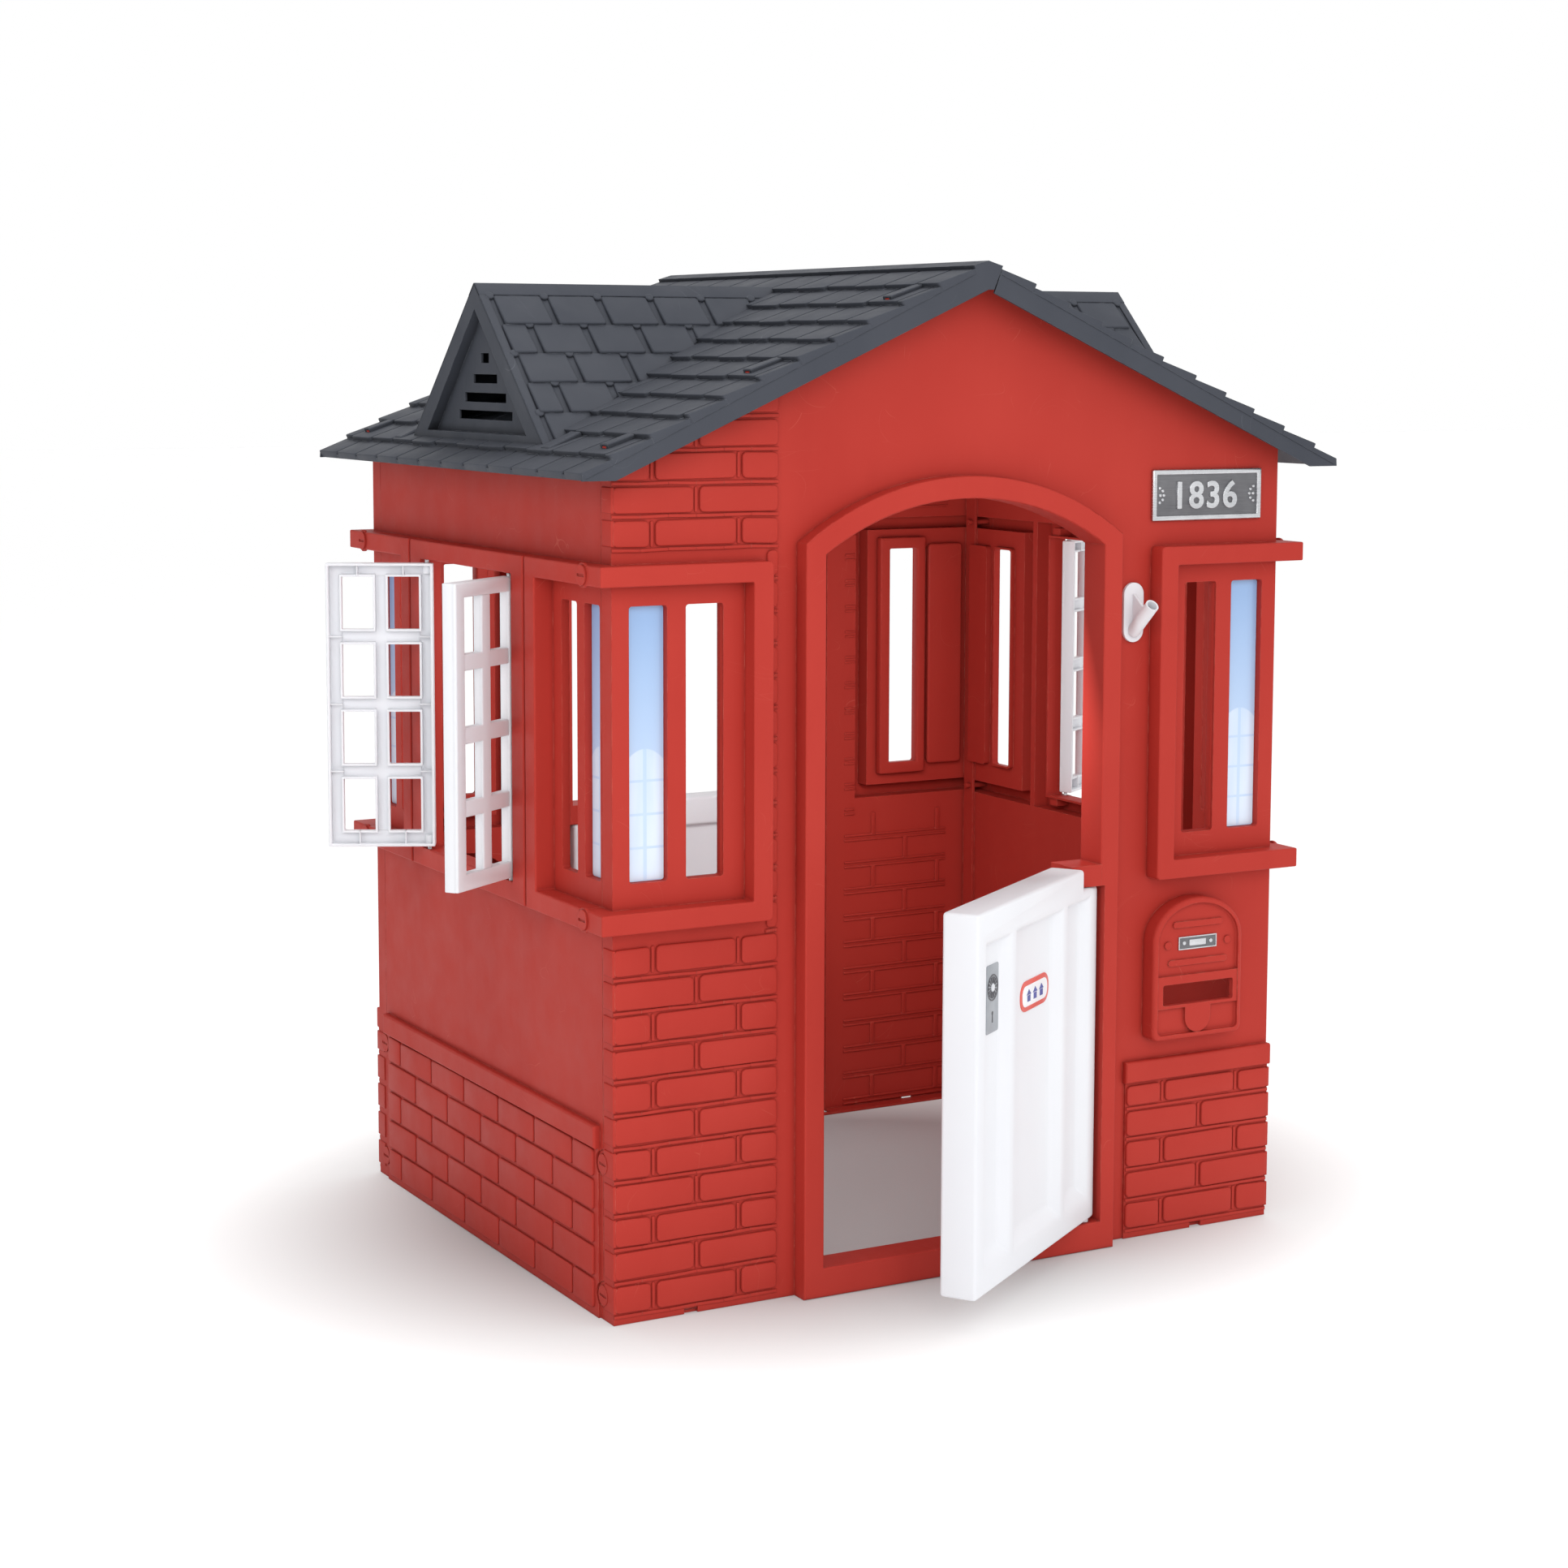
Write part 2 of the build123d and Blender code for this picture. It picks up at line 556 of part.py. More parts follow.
def roof_section(length):
    """Section of one slope, from the eave to a distance up it."""
    return shape(*shingle_points(length), slope_point(length, -ROOF_SKIN), slope_point(4.0, -ROOF_SKIN),
                 slope_point(0, -ROOF_SKIN))


def fascia_section(end_top, end_low):
    """Section of the board under one slope's gable edge."""
    return shape(slope_point(0, -1.0), (-EAVE, EAVE_Z), (-EAVE + FASCIA_FOOT, EAVE_Z), (MID_X, FASCIA_APEX),
                 *end_low, *end_top, (MID_X, RIDGE_Z - 1))


def housings():
    """Latch covers over the hooks of both gables, with a mouth at their lower end and slots for the hooks."""
    section = shape((0, -ROOF_SKIN / 2), (HOUSING[0], -ROOF_SKIN / 2), (HOUSING[0], 3), (0, HOUSING[2]))
    covers = []
    cuts = []
    for x in TAB_X:
        start = (x - 14.0 + EAVE) / cos(SLOPE)
        origin = slope_plane(0)
        low = extrude(Plane(origin=(start, HOUSING_Y[1], 0), x_dir=(1, 0, 0), z_dir=(0, -1, 0)) * section,
                      amount=HOUSING[1])
        cover = origin * rounded(low, 2.0, lambda p: p.Z > 2.9)
        mouth = origin * block(start - 1, start + 9, -3.0, 7.0, -3, HOUSING[2] - 2.5)
        half = HOOK[0] + 1
        slot = block(x - half, x + half, -1, SKIN + 1, roof_z(x) - 25, roof_z(x) + HOOK[1] + 0.7)
        covers += [cover, mirror_y(cover)]
        cuts += [mouth, mirror_y(mouth), slot, mirror_y(slot)]
    vent_y = MID_Y - DORMER_HALF - 30
    bump = slope_plane(vent_y) * rounded(block(45, 90, -12, 12, -4, 6), 3.0, lambda p: p.Z > 5.9)
    return covers + [bump, mirror_y(bump)], cuts


def roof_half(capped):
    """Left half of the roof; the capped half carries the ridge, the other one stops at its edge."""
    full = (MID_X + EAVE) / cos(SLOPE)
    y0, y1 = -VERGE, DEPTH + VERGE
    length = full if capped else full - CAP - SEAM
    half = front_prism(roof_section(length), y0, y1)
    if capped:
        top = slope_point(full, 3.0)
        left = slope_point(full - CAP, 3.0)
        low = slope_point(full - CAP, -ROOF_SKIN)
        mid = slope_point(full, -ROOF_SKIN)
        right = [(2 * MID_X - x, z) for x, z in (left, low)]
        peak = (MID_X, RIDGE_Z)
        ridge = (MID_X, RIDGE_Z - ROOF_SKIN / cos(SLOPE))
        cap = shape((left[0], left[1]), peak, right[0], right[1], ridge, low)
        half += front_prism(cap, y0, y1)
        low_end = [(MID_X + 8, FASCIA_APEX)]
        board = fascia_section([right[0]], low_end)
    else:
        end = slope_point(length, -1)
        board = shape(slope_point(0, -1.0), (-EAVE, EAVE_Z), (-EAVE + FASCIA_FOOT, EAVE_Z),
                      (MID_X - 8 - SEAM, FASCIA_APEX - 4), end)
    fascia = front_prism(board, y0, y0 + SKIN)
    half += [fascia, mirror_y(fascia)]
    covers, cuts = housings()
    half += covers
    half -= cuts
    return half


def dormer():
    """Left dormer: a hollow gabled hood with a louvred front, standing on the roof."""
    rise = DORMER_APEX - DORMER_FOOT
    back = MID_X - 30.0
    hood = shape((MID_Y - DORMER_HALF, DORMER_FOOT), (MID_Y + DORMER_HALF, DORMER_FOOT), (MID_Y, DORMER_APEX))
    inner_half, inner_z = DORMER_OPENING
    top = DORMER_APEX - DORMER_DROP
    inner = shape((MID_Y - inner_half, inner_z), (MID_Y + inner_half, inner_z), (MID_Y, top))
    low = DORMER_FOOT - 60
    spread = (DORMER_APEX - low) * DORMER_HALF / rise
    solid = side_prism(hood, DORMER_X, back)
    recess = side_prism(inner, DORMER_X - 1, DORMER_X + DORMER_RECESS)
    peak = DORMER_APEX - DORMER_WALL / cos(radians(45))
    lower = shape((MID_Y - spread, low), (MID_Y + spread, low), (MID_Y, peak))
    cavity = side_prism(lower, DORMER_X + DORMER_RECESS + 3, back + 1)
    solid -= recess
    solid -= cavity
    for z0, z1, half in LOUVRES:
        solid -= side_prism(panel(MID_Y - half, MID_Y + half, z0, z1), DORMER_X, DORMER_X + DORMER_RECESS + 4)
    roof_top = shape((-EAVE - 99, roof_z(-EAVE - 99) + 0.4), (MID_X + 99, roof_z(MID_X + 99) + 0.4),
                     (MID_X + 99, 500), (-EAVE - 99, 500))
    return solid - front_prism(roof_top, -99, DEPTH + 99)


# ---------------------------------------------------------------- fittings
def screws():
    """The four screws of the front left corner."""
    heights = [(z, 0.0) for z in SCREW_LOW]
    heights += [(sum(z) / 2, -PROUD) for z in (SILL_Z, HEAD_Z)]
    parts = []
    for z, face in heights:
        head = across(SCREW_R, face - 2.4, face, SCREW_Y, z)
        shank = across(4.0, face, 14.0, SCREW_Y, z)
        slot = block(face - 3, face - 1.0, SCREW_Y - 9, SCREW_Y + 9, z - 1.6, z + 1.6)
        parts.append(head + shank - slot)
    return Compound(children=parts)


def gable_decal(panes):
    """Sticker at the bottom of a gable wall's blind pane."""
    a0, a1 = panes
    return front_prism(panel(a0 + 0.5, a1 - 0.5, PANE_Z[0] + 0.5, PANE_Z[1] - 0.5, 3.5),
                       PANE_DEPTH - DECAL, PANE_DEPTH)


def side_decal(panes):
    """Sticker at the bottom of a side wall's blind pane."""
    a0, a1 = panes
    return side_prism(panel(a0 + 0.5, a1 - 0.5, PANE_Z[0] + 0.5, PANE_Z[1] - 0.5, 3.5),
                      PANE_DEPTH - DECAL, PANE_DEPTH)


def flag_holder():
    """Wall plate with a slanting socket for a flag pole."""
    mid = sum(FLAG_Z) / 2
    plate = front_prism(Pos(FLAG_X, mid) * Rot(0, 0, 90) * SlotOverall(FLAG_Z[1] - FLAG_Z[0], 30), -4, 0)
    base = Plane(origin=(FLAG_X, -3, FLAG_Z[0] + 13), x_dir=(1, 0, 0), z_dir=(0, -0.74, 0.67))
    tube = extrude(base * Circle(8.5), amount=54, both=False)
    gusset = side_prism(shape((-3, 795), (-3, 832), (-26, 815)), FLAG_X - 2, FLAG_X + 2)
    bore = extrude(base.offset(12) * Circle(6.5), amount=60)
    return plate + (tube - block(0, WIDTH, 0, 50, 700, 900)) + gusset - bore


def address_plate():
    """House number plate with a raised rim."""
    body = front_prism(panel(*PLATE_X, *PLATE_Z, 2.0), -PLATE_T, 0)
    x0, x1 = PLATE_X[0] + PLATE_RIM, PLATE_X[1] - PLATE_RIM
    z0, z1 = PLATE_Z[0] + PLATE_RIM, PLATE_Z[1] - PLATE_RIM
    return body - front_prism(panel(x0, x1, z0, z1), -PLATE_T - 1, -2.5)


def mailbox_label():
    """Small label on the letter box."""
    mid = (MAIL_SLOT[0] + MAIL_SLOT[1]) / 2
    y = -PROUD + 5.0
    return front_prism(panel(mid - 30, mid + 30, 373, 390, 1.5), y - 1.0, y)


def door_place(u):
    """Distance from the closed front door's free edge to wall x."""
    return DOOR_HINGE[0] + DOOR_EDGE - DOOR_W + u


def lock_plate():
    """Lock plate on the floor of the door's first panel, closed position."""
    face = DOOR_HINGE[1] - DOOR_EDGE + PANEL_DEPTH
    return front_prism(panel(door_place(LOCK_U[0]), door_place(LOCK_U[1]), *LOCK_Z, 4.0), face - LABEL, face)


def badge():
    """Round-ended badge in the door's middle panel, closed position."""
    face = DOOR_HINGE[1] - DOOR_EDGE + PANEL_DEPTH
    outline = Pos(door_place(BADGE_AT[0]), BADGE_AT[1]) * SlotOverall(*BADGE_SIZE)
    return front_prism(outline, face - LABEL, face)


def opened(part, angle):
    """A piece carried by the front door, turned about the door's hinge."""
    x, y = DOOR_HINGE
    return Pos(x, y, 0) * Rot(0, 0, angle) * Pos(-x, -y, 0) * part


# ---------------------------------------------------------------- write the pieces
def all_parts():
    """Every piece by name, in wall coordinates."""
    front = gable_wall()
    left = side_wall()
    parts = {
        "front_wall": front,
        "back_wall": turned(front),
        "left_wall": left,
        "right_wall": turned(left),
        "roof_left": roof_half(True),
        "roof_right": mirror_x(roof_half(False)),
        "dormer_left": dormer(),
        "dormer_right": mirror_x(dormer()),
        "front_door": front_door(DOOR_OPEN),
        "back_door": turned(front_door(0)),
        "front_door_lock_plate": opened(lock_plate(), DOOR_OPEN),
        "front_door_badge": opened(badge(), DOOR_OPEN),
        "flag_holder": flag_holder(),
        "address_plate": address_plate(),
        "mailbox_label": mailbox_label(),
    }
    near, far = SHUTTER_OPEN
    front_leaf = left_shutter(near)
    back_leaf = mirror_y(left_shutter(far))
    parts["left_front_shutter"] = front_leaf
    parts["left_back_shutter"] = back_leaf
    parts["right_back_shutter"] = turned(front_leaf)
    parts["right_front_shutter"] = turned(back_leaf)
    corner = screws()
    parts["front_left_screws"] = corner
    parts["front_right_screws"] = mirror_x(corner)
    parts["back_left_screws"] = mirror_y(corner)
    parts["back_right_screws"] = turned(corner)
    front_sticker = gable_decal(GABLE_PANES[0])
    side_sticker = side_decal(SIDE_PANES[0])
    parts["front_left_decal"] = front_sticker
    parts["front_right_decal"] = mirror_x(front_sticker)
    parts["back_left_decal"] = mirror_y(front_sticker)
    parts["back_right_decal"] = turned(front_sticker)
    parts["left_front_decal"] = side_sticker
    parts["left_back_decal"] = mirror_y(side_sticker)
    parts["right_front_decal"] = mirror_x(side_sticker)
    parts["right_back_decal"] = turned(side_sticker)
    return parts


os.makedirs("parts", exist_ok=True)
for name, part in all_parts().items():
    export_step(Pos(-MID_X, ORIGIN_Y - MID_Y, 0) * part, f"parts/{name}.step")
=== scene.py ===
"""Looks of the plastic playhouse: moulded masonry, shingles, half doors, shutters, stickers and light.

Metres. Wall coordinates run x from the front left corner, y inwards from the front wall, z up;
place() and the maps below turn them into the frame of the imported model.
"""
import json
from math import atan2, cos, hypot, pi, radians, sin

import bmesh
import bpy
from mathutils import Matrix, Vector


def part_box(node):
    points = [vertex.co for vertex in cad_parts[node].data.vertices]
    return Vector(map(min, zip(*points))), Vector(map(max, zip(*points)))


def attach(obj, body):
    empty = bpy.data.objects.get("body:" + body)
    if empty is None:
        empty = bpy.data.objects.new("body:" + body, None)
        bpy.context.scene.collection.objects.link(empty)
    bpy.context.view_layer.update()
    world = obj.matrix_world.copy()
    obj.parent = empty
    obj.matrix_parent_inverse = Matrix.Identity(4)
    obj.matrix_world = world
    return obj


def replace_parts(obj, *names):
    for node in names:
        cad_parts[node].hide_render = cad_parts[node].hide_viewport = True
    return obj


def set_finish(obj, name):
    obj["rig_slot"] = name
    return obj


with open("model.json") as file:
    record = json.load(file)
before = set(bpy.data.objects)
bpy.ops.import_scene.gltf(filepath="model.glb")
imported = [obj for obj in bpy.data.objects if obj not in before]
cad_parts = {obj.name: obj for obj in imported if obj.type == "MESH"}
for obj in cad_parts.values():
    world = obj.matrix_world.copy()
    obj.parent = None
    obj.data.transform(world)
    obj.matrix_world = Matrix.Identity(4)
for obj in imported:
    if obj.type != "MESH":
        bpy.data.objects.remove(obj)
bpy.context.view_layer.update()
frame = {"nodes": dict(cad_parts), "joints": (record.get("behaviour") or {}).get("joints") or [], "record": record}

# -------------------- sizes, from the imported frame
PROUD = 0.025                # belts and frames stand this far out of the walls
SKIN = 0.0032
wall_low, wall_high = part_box("front_wall")
back_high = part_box("back_wall")[1]
roof_low, roof_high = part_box("roof_left")
hood_low, hood_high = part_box("dormer_left")
MIDDLE = Vector((0, (wall_low.y + back_high.y) / 2, 0))     # of the footprint
HALF_W = wall_high.x - PROUD
HALF_D = (back_high.y - wall_low.y) / 2 - PROUD
WIDTH = 2 * HALF_W
DEPTH = 2 * HALF_D

# roof
EAVE = -roof_low.x - HALF_W
VERGE = MIDDLE.y - roof_low.y - HALF_D
EAVE_TOP = roof_low.z + 0.008
RIDGE = roof_high.z
SLOPE = atan2(RIDGE - EAVE_TOP, HALF_W + EAVE)
SLOPE_LENGTH = (HALF_W + EAVE) / cos(SLOPE)
ROW = 0.0474 / cos(SLOPE)
FIRST_ROW = 0.041 / cos(SLOPE)
SHINGLE_PITCH = 0.072
SHINGLE_GAP = 0.0042
SHINGLE_THICK = 0.005
CAP = 0.021
HOOK_X = (0.0085, 0.192, 0.380)

# masonry
FIRST_JOINT = 0.010          # height of the lowest joint
LOWER_ROWS, UPPER_ROWS = 12, 17
BRICK_Z = 0.040
UPPER_BRICK_Z = 0.038
SHORT_BOND = (0.051, 0.1634)  # upright joints of the rows with short bricks at the corner
LONG_BOND = (0.1078,)
COLUMN = 0.217
FRAME_LOW, FRAME_HIGH = 0.467, 0.890     # the corner window's frame covers the rows between these
FRAME_RIGHT = 0.2
MORTAR = 0.0042
UPRIGHT_PROUD = 0.0016
BED_PROUD = 0.0019
JOINT_EDGE = 0.001
BRICK_GAP = 0.0082
BRICK_PROUD = 0.0034
BRICK_RADIUS = 0.0056
BRICK_EDGE = 0.0017
PLINTH_X = 0.723
PLINTH_TOP = 0.204
PLINTH_PROUD = 0.003
CORNER_WRAP = 0.0015         # a brick at a corner stands this far out of the wall round the corner
CORNER_THICK = 0.0042        # thickness of that short end
CORNER_DEPTH = 0.0225        # how far it runs along the side wall


# -------------------- places
def place(x, y, z):
    """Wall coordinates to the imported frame."""
    return MIDDLE + Vector((x - HALF_W, y - HALF_D, z))


def on_front(x, z, out):
    """Point on the front wall's outer face."""
    return place(x, -out, z)


def on_left(y, z, out):
    """Point on the left wall's outer face."""
    return place(-out, y, z)


def in_front(x, z, inwards):
    """Point on the front wall's inner face."""
    return place(x, SKIN + inwards, z)


def on_slope(s, y, n):
    """Point over the left slope: s up the slope from the eave, n above the shingles' top line."""
    return place(-EAVE + s * cos(SLOPE) - n * sin(SLOPE), y, EAVE_TOP + s * sin(SLOPE) + n * cos(SLOPE))


# -------------------- rings: outlines that can shrink
def rectangle(u0, u1, v0, v1, radius=0.0, steps=3):
    """Rectangle with round corners."""
    def ring(inset):
        r = max(radius - inset, 0.0)
        a0, a1, b0, b1 = u0 + inset, u1 - inset, v0 + inset, v1 - inset
        if radius == 0.0:
            return [(a0, b0), (a1, b0), (a1, b1), (a0, b1)]
        corners = [(a1 - r, b1 - r, 0), (a0 + r, b1 - r, 1), (a0 + r, b0 + r, 2), (a1 - r, b0 + r, 3)]
        points = []
        for cu, cv, quarter in corners:
            for k in range(steps + 1):
                angle = pi / 2 * (quarter + k / steps)
                points.append((cu + r * cos(angle), cv + r * sin(angle)))
        return points
    return ring


def disc(u, v, radius, steps=24):
    """Circle."""
    def ring(inset):
        r = radius - inset
        return [(u + r * cos(2 * pi * k / steps), v + r * sin(2 * pi * k / steps)) for k in range(steps)]
    return ring


def convex(points):
    """Convex outline, counter-clockwise."""
    def ring(inset):
        moved = []
        count = len(points)
        for k in range(count):
            (ax, ay), (bx, by), (cx, cy) = points[k - 1], points[k], points[(k + 1) % count]
            first = Vector((bx - ax, by - ay)).normalized()
            second = Vector((cx - bx, cy - by)).normalized()
            normal_1 = Vector((-first.y, first.x))
            normal_2 = Vector((-second.y, second.x))
            share = inset / max(1 + normal_1.dot(normal_2), 0.2)
            moved.append((bx + share * (normal_1.x + normal_2.x), by + share * (normal_1.y + normal_2.y)))
        return moved
    return ring


# -------------------- mesh building
def pad(bm, ring, height, edge, where, base=-0.0006, steps=3):
    """Closed moulded pad with a rounded upper edge."""
    levels = [(0.0, base), (0.0, height - edge)]
    for k in range(1, steps + 1):
        angle = pi / 2 * k / steps
        levels.append((edge * (1 - cos(angle)), height - edge + edge * sin(angle)))
    rows = [[bm.verts.new(where(u, v, n)) for u, v in ring(inset)] for inset, n in levels]
    for low, high in zip(rows, rows[1:]):
        for k in range(len(low)):
            after = (k + 1) % len(low)
            bm.faces.new((low[k], low[after], high[after], high[k]))
    bm.faces.new(rows[-1])
    bm.faces.new(list(reversed(rows[0])))


def cells(us, vs, holes=()):
    """Grid rectangles between the given lines, without those inside a hole."""
    kept = []
    for u0, u1 in zip(us, us[1:]):
        for v0, v1 in zip(vs, vs[1:]):
            u, v = (u0 + u1) / 2, (v0 + v1) / 2
            if not any(a0 < u < a1 and b0 < v < b1 for a0, a1, b0, b1 in holes):
                kept.append((u0, u1, v0, v1))
    return kept


def inset_cell(cell, by):
    """A rectangle, smaller by the same margin on every side."""
    return (cell[0] + by, cell[1] - by, cell[2] + by, cell[3] - by)


def frame_cells(outer, inner):
    """Rectangles of a frame between two rectangles."""
    return cells([outer[0], inner[0], inner[1], outer[1]], [outer[2], inner[2], inner[3], outer[3]], [inner])


def perimeter(cell, corners):
    """Corners of a rectangle, with every other rectangle's corner that lies on its edge."""
    u0, u1, v0, v1 = cell
    bottom = sorted((p for p in corners if p[1] == v0 and u0 <= p[0] < u1))
    right = sorted((p for p in corners if p[0] == u1 and v0 <= p[1] < v1), key=lambda p: p[1])
    top = sorted((p for p in corners if p[1] == v1 and u0 < p[0] <= u1), reverse=True)
    left = sorted((p for p in corners if p[0] == u0 and v0 < p[1] <= v1), key=lambda p: -p[1])
    return bottom + right + top + left


def slab(bm, rectangles, n0, n1, where, edge, segments=3, trays=()):
    """Plate made of rectangles between two depths, every edge rounded; n0 is its face.

    A tray is (cell, floor cell, depth): a sunk panel in both faces, with sloping sides.
    """
    rectangles = [tuple(round(value, 6) for value in cell) for cell in rectangles]
    rims = [tuple(round(value, 6) for value in rim) for rim, _, _ in trays]
    corners = {(u, v) for u0, u1, v0, v1 in rectangles + rims for u in (u0, u1) for v in (v0, v1)}
    made = bmesh.new()
    faces = {}
    for n, depth_sign in ((n0, 1), (n1, -1)):
        verts = {point: made.verts.new((point[0], n, point[1])) for point in corners}
        faces[n] = verts
        for cell in rectangles:
            made.faces.new([verts[p] for p in perimeter(cell, corners)])
        for rim, (_, floor, depth) in zip(rims, trays):
            f0, f1, g0, g1 = floor
            low = {}
            rim_corners = ((rim[0], rim[2]), (rim[1], rim[2]), (rim[1], rim[3]), (rim[0], rim[3]))
            floor_corners = ((f0, g0), (f1, g0), (f1, g1), (f0, g1))
            for (u, v), (a, b) in zip(rim_corners, floor_corners):
                low[(u, v)] = made.verts.new((a, n + depth_sign * depth, b))
            path = perimeter(rim, corners)
            ends = [k for k, point in enumerate(path) if point in low]
            for start, stop in zip(ends, ends[1:] + [ends[0] + len(path)]):
                side = [verts[path[k % len(path)]] for k in range(start, stop + 1)]
                made.faces.new(side + [low[path[stop % len(path)]], low[path[start]]])
            made.faces.new(list(low.values()))
    for edge_here in [e for e in made.edges if len(e.link_faces) == 1 and abs(e.verts[0].co.y - n0) < 1e-7]:
        a, b = ((round(v.co.x, 6), round(v.co.z, 6)) for v in edge_here.verts)
        made.faces.new((faces[n0][a], faces[n0][b], faces[n1][b], faces[n1][a]))
    bmesh.ops.recalc_face_normals(made, faces=made.faces)
    bmesh.ops.dissolve_limit(made, angle_limit=radians(1), verts=made.verts, edges=made.edges)
    sharp = [e for e in made.edges if len(e.link_faces) == 2 and e.calc_face_angle(0) > radians(8)]
    bmesh.ops.bevel(made, geom=sharp, offset=edge, segments=segments, profile=0.5, affect="EDGES",
                    clamp_overlap=True)
    for vert in made.verts:
        vert.co = where(vert.co.x, vert.co.z, vert.co.y)
    merge(bm, made)


def merge(bm, other):
    """Adds one mesh to another."""
    scratch = bpy.data.meshes.new("scratch")
    other.to_mesh(scratch)
    other.free()
    bm.from_mesh(scratch)
    bpy.data.meshes.remove(scratch)


def cut_away(bm, point, normal):
    """Removes what lies on the normal's side of a plane, and closes the cut."""
    geometry = bm.verts[:] + bm.edges[:] + bm.faces[:]
    bmesh.ops.bisect_plane(bm, geom=geometry, plane_co=point, plane_no=normal, clear_outer=True, dist=1e-6)
    open_edges = [edge for edge in bm.edges if edge.is_boundary]
    bmesh.ops.holes_fill(bm, edges=open_edges, sides=0)


def add_object(name, data):
    """New object in the scene."""
    made = bpy.data.objects.new(name, data)
    bpy.context.scene.collection.objects.link(made)
    return made


def piece(name, bm, material, slot, body="root"):
    """Turns a mesh under construction into a piece that rides on a body."""
    bmesh.ops.recalc_face_normals(bm, faces=bm.faces)
    mesh = bpy.data.meshes.new(name)
    bm.to_mesh(mesh)
    bm.free()
    mesh.polygons.foreach_set("use_smooth", [True] * len(mesh.polygons))
    mesh.set_sharp_from_angle(angle=radians(35))
    mesh.materials.append(material)
    made = add_object(name, mesh)
    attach(made, body)
    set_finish(made, slot)
    return made


def about_middle(matrix):
    """The same transform, about the footprint's middle."""
    return Matrix.Translation(MIDDLE) @ matrix @ Matrix.Translation(-MIDDLE)


def half_turn(source, name, body="root"):
    """The same piece at the opposite side of the house."""
    made = add_object(name, source.data)
    made.matrix_world = about_middle(Matrix.Rotation(pi, 4, "Z"))
    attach(made, body)
    made["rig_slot"] = source["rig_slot"]
    return made


def mirrored(source, name, axis, body="root"):
    """The mirror image of a piece."""
    mesh = source.data.copy()
    mesh.transform(about_middle(Matrix.Scale(-1, 4, axis)))
    mesh.flip_normals()
    made = add_object(name, mesh)
    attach(made, body)
    made["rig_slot"] = source["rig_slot"]
    return made


# -------------------- materials
def set_inputs(node, **values):
    """Sets a node's inputs; an underscore in a name stands for a space."""
    for name, value in values.items():
        node.inputs[name.replace("_", " ")].default_value = value


def map_range(tree, low, high, out_low, out_high):
    """Node that maps a value from one range to another, clamped."""
    node = tree.nodes.new("ShaderNodeMapRange")
    set_inputs(node, From_Min=low, From_Max=high, To_Min=out_low, To_Max=out_high)
    return node


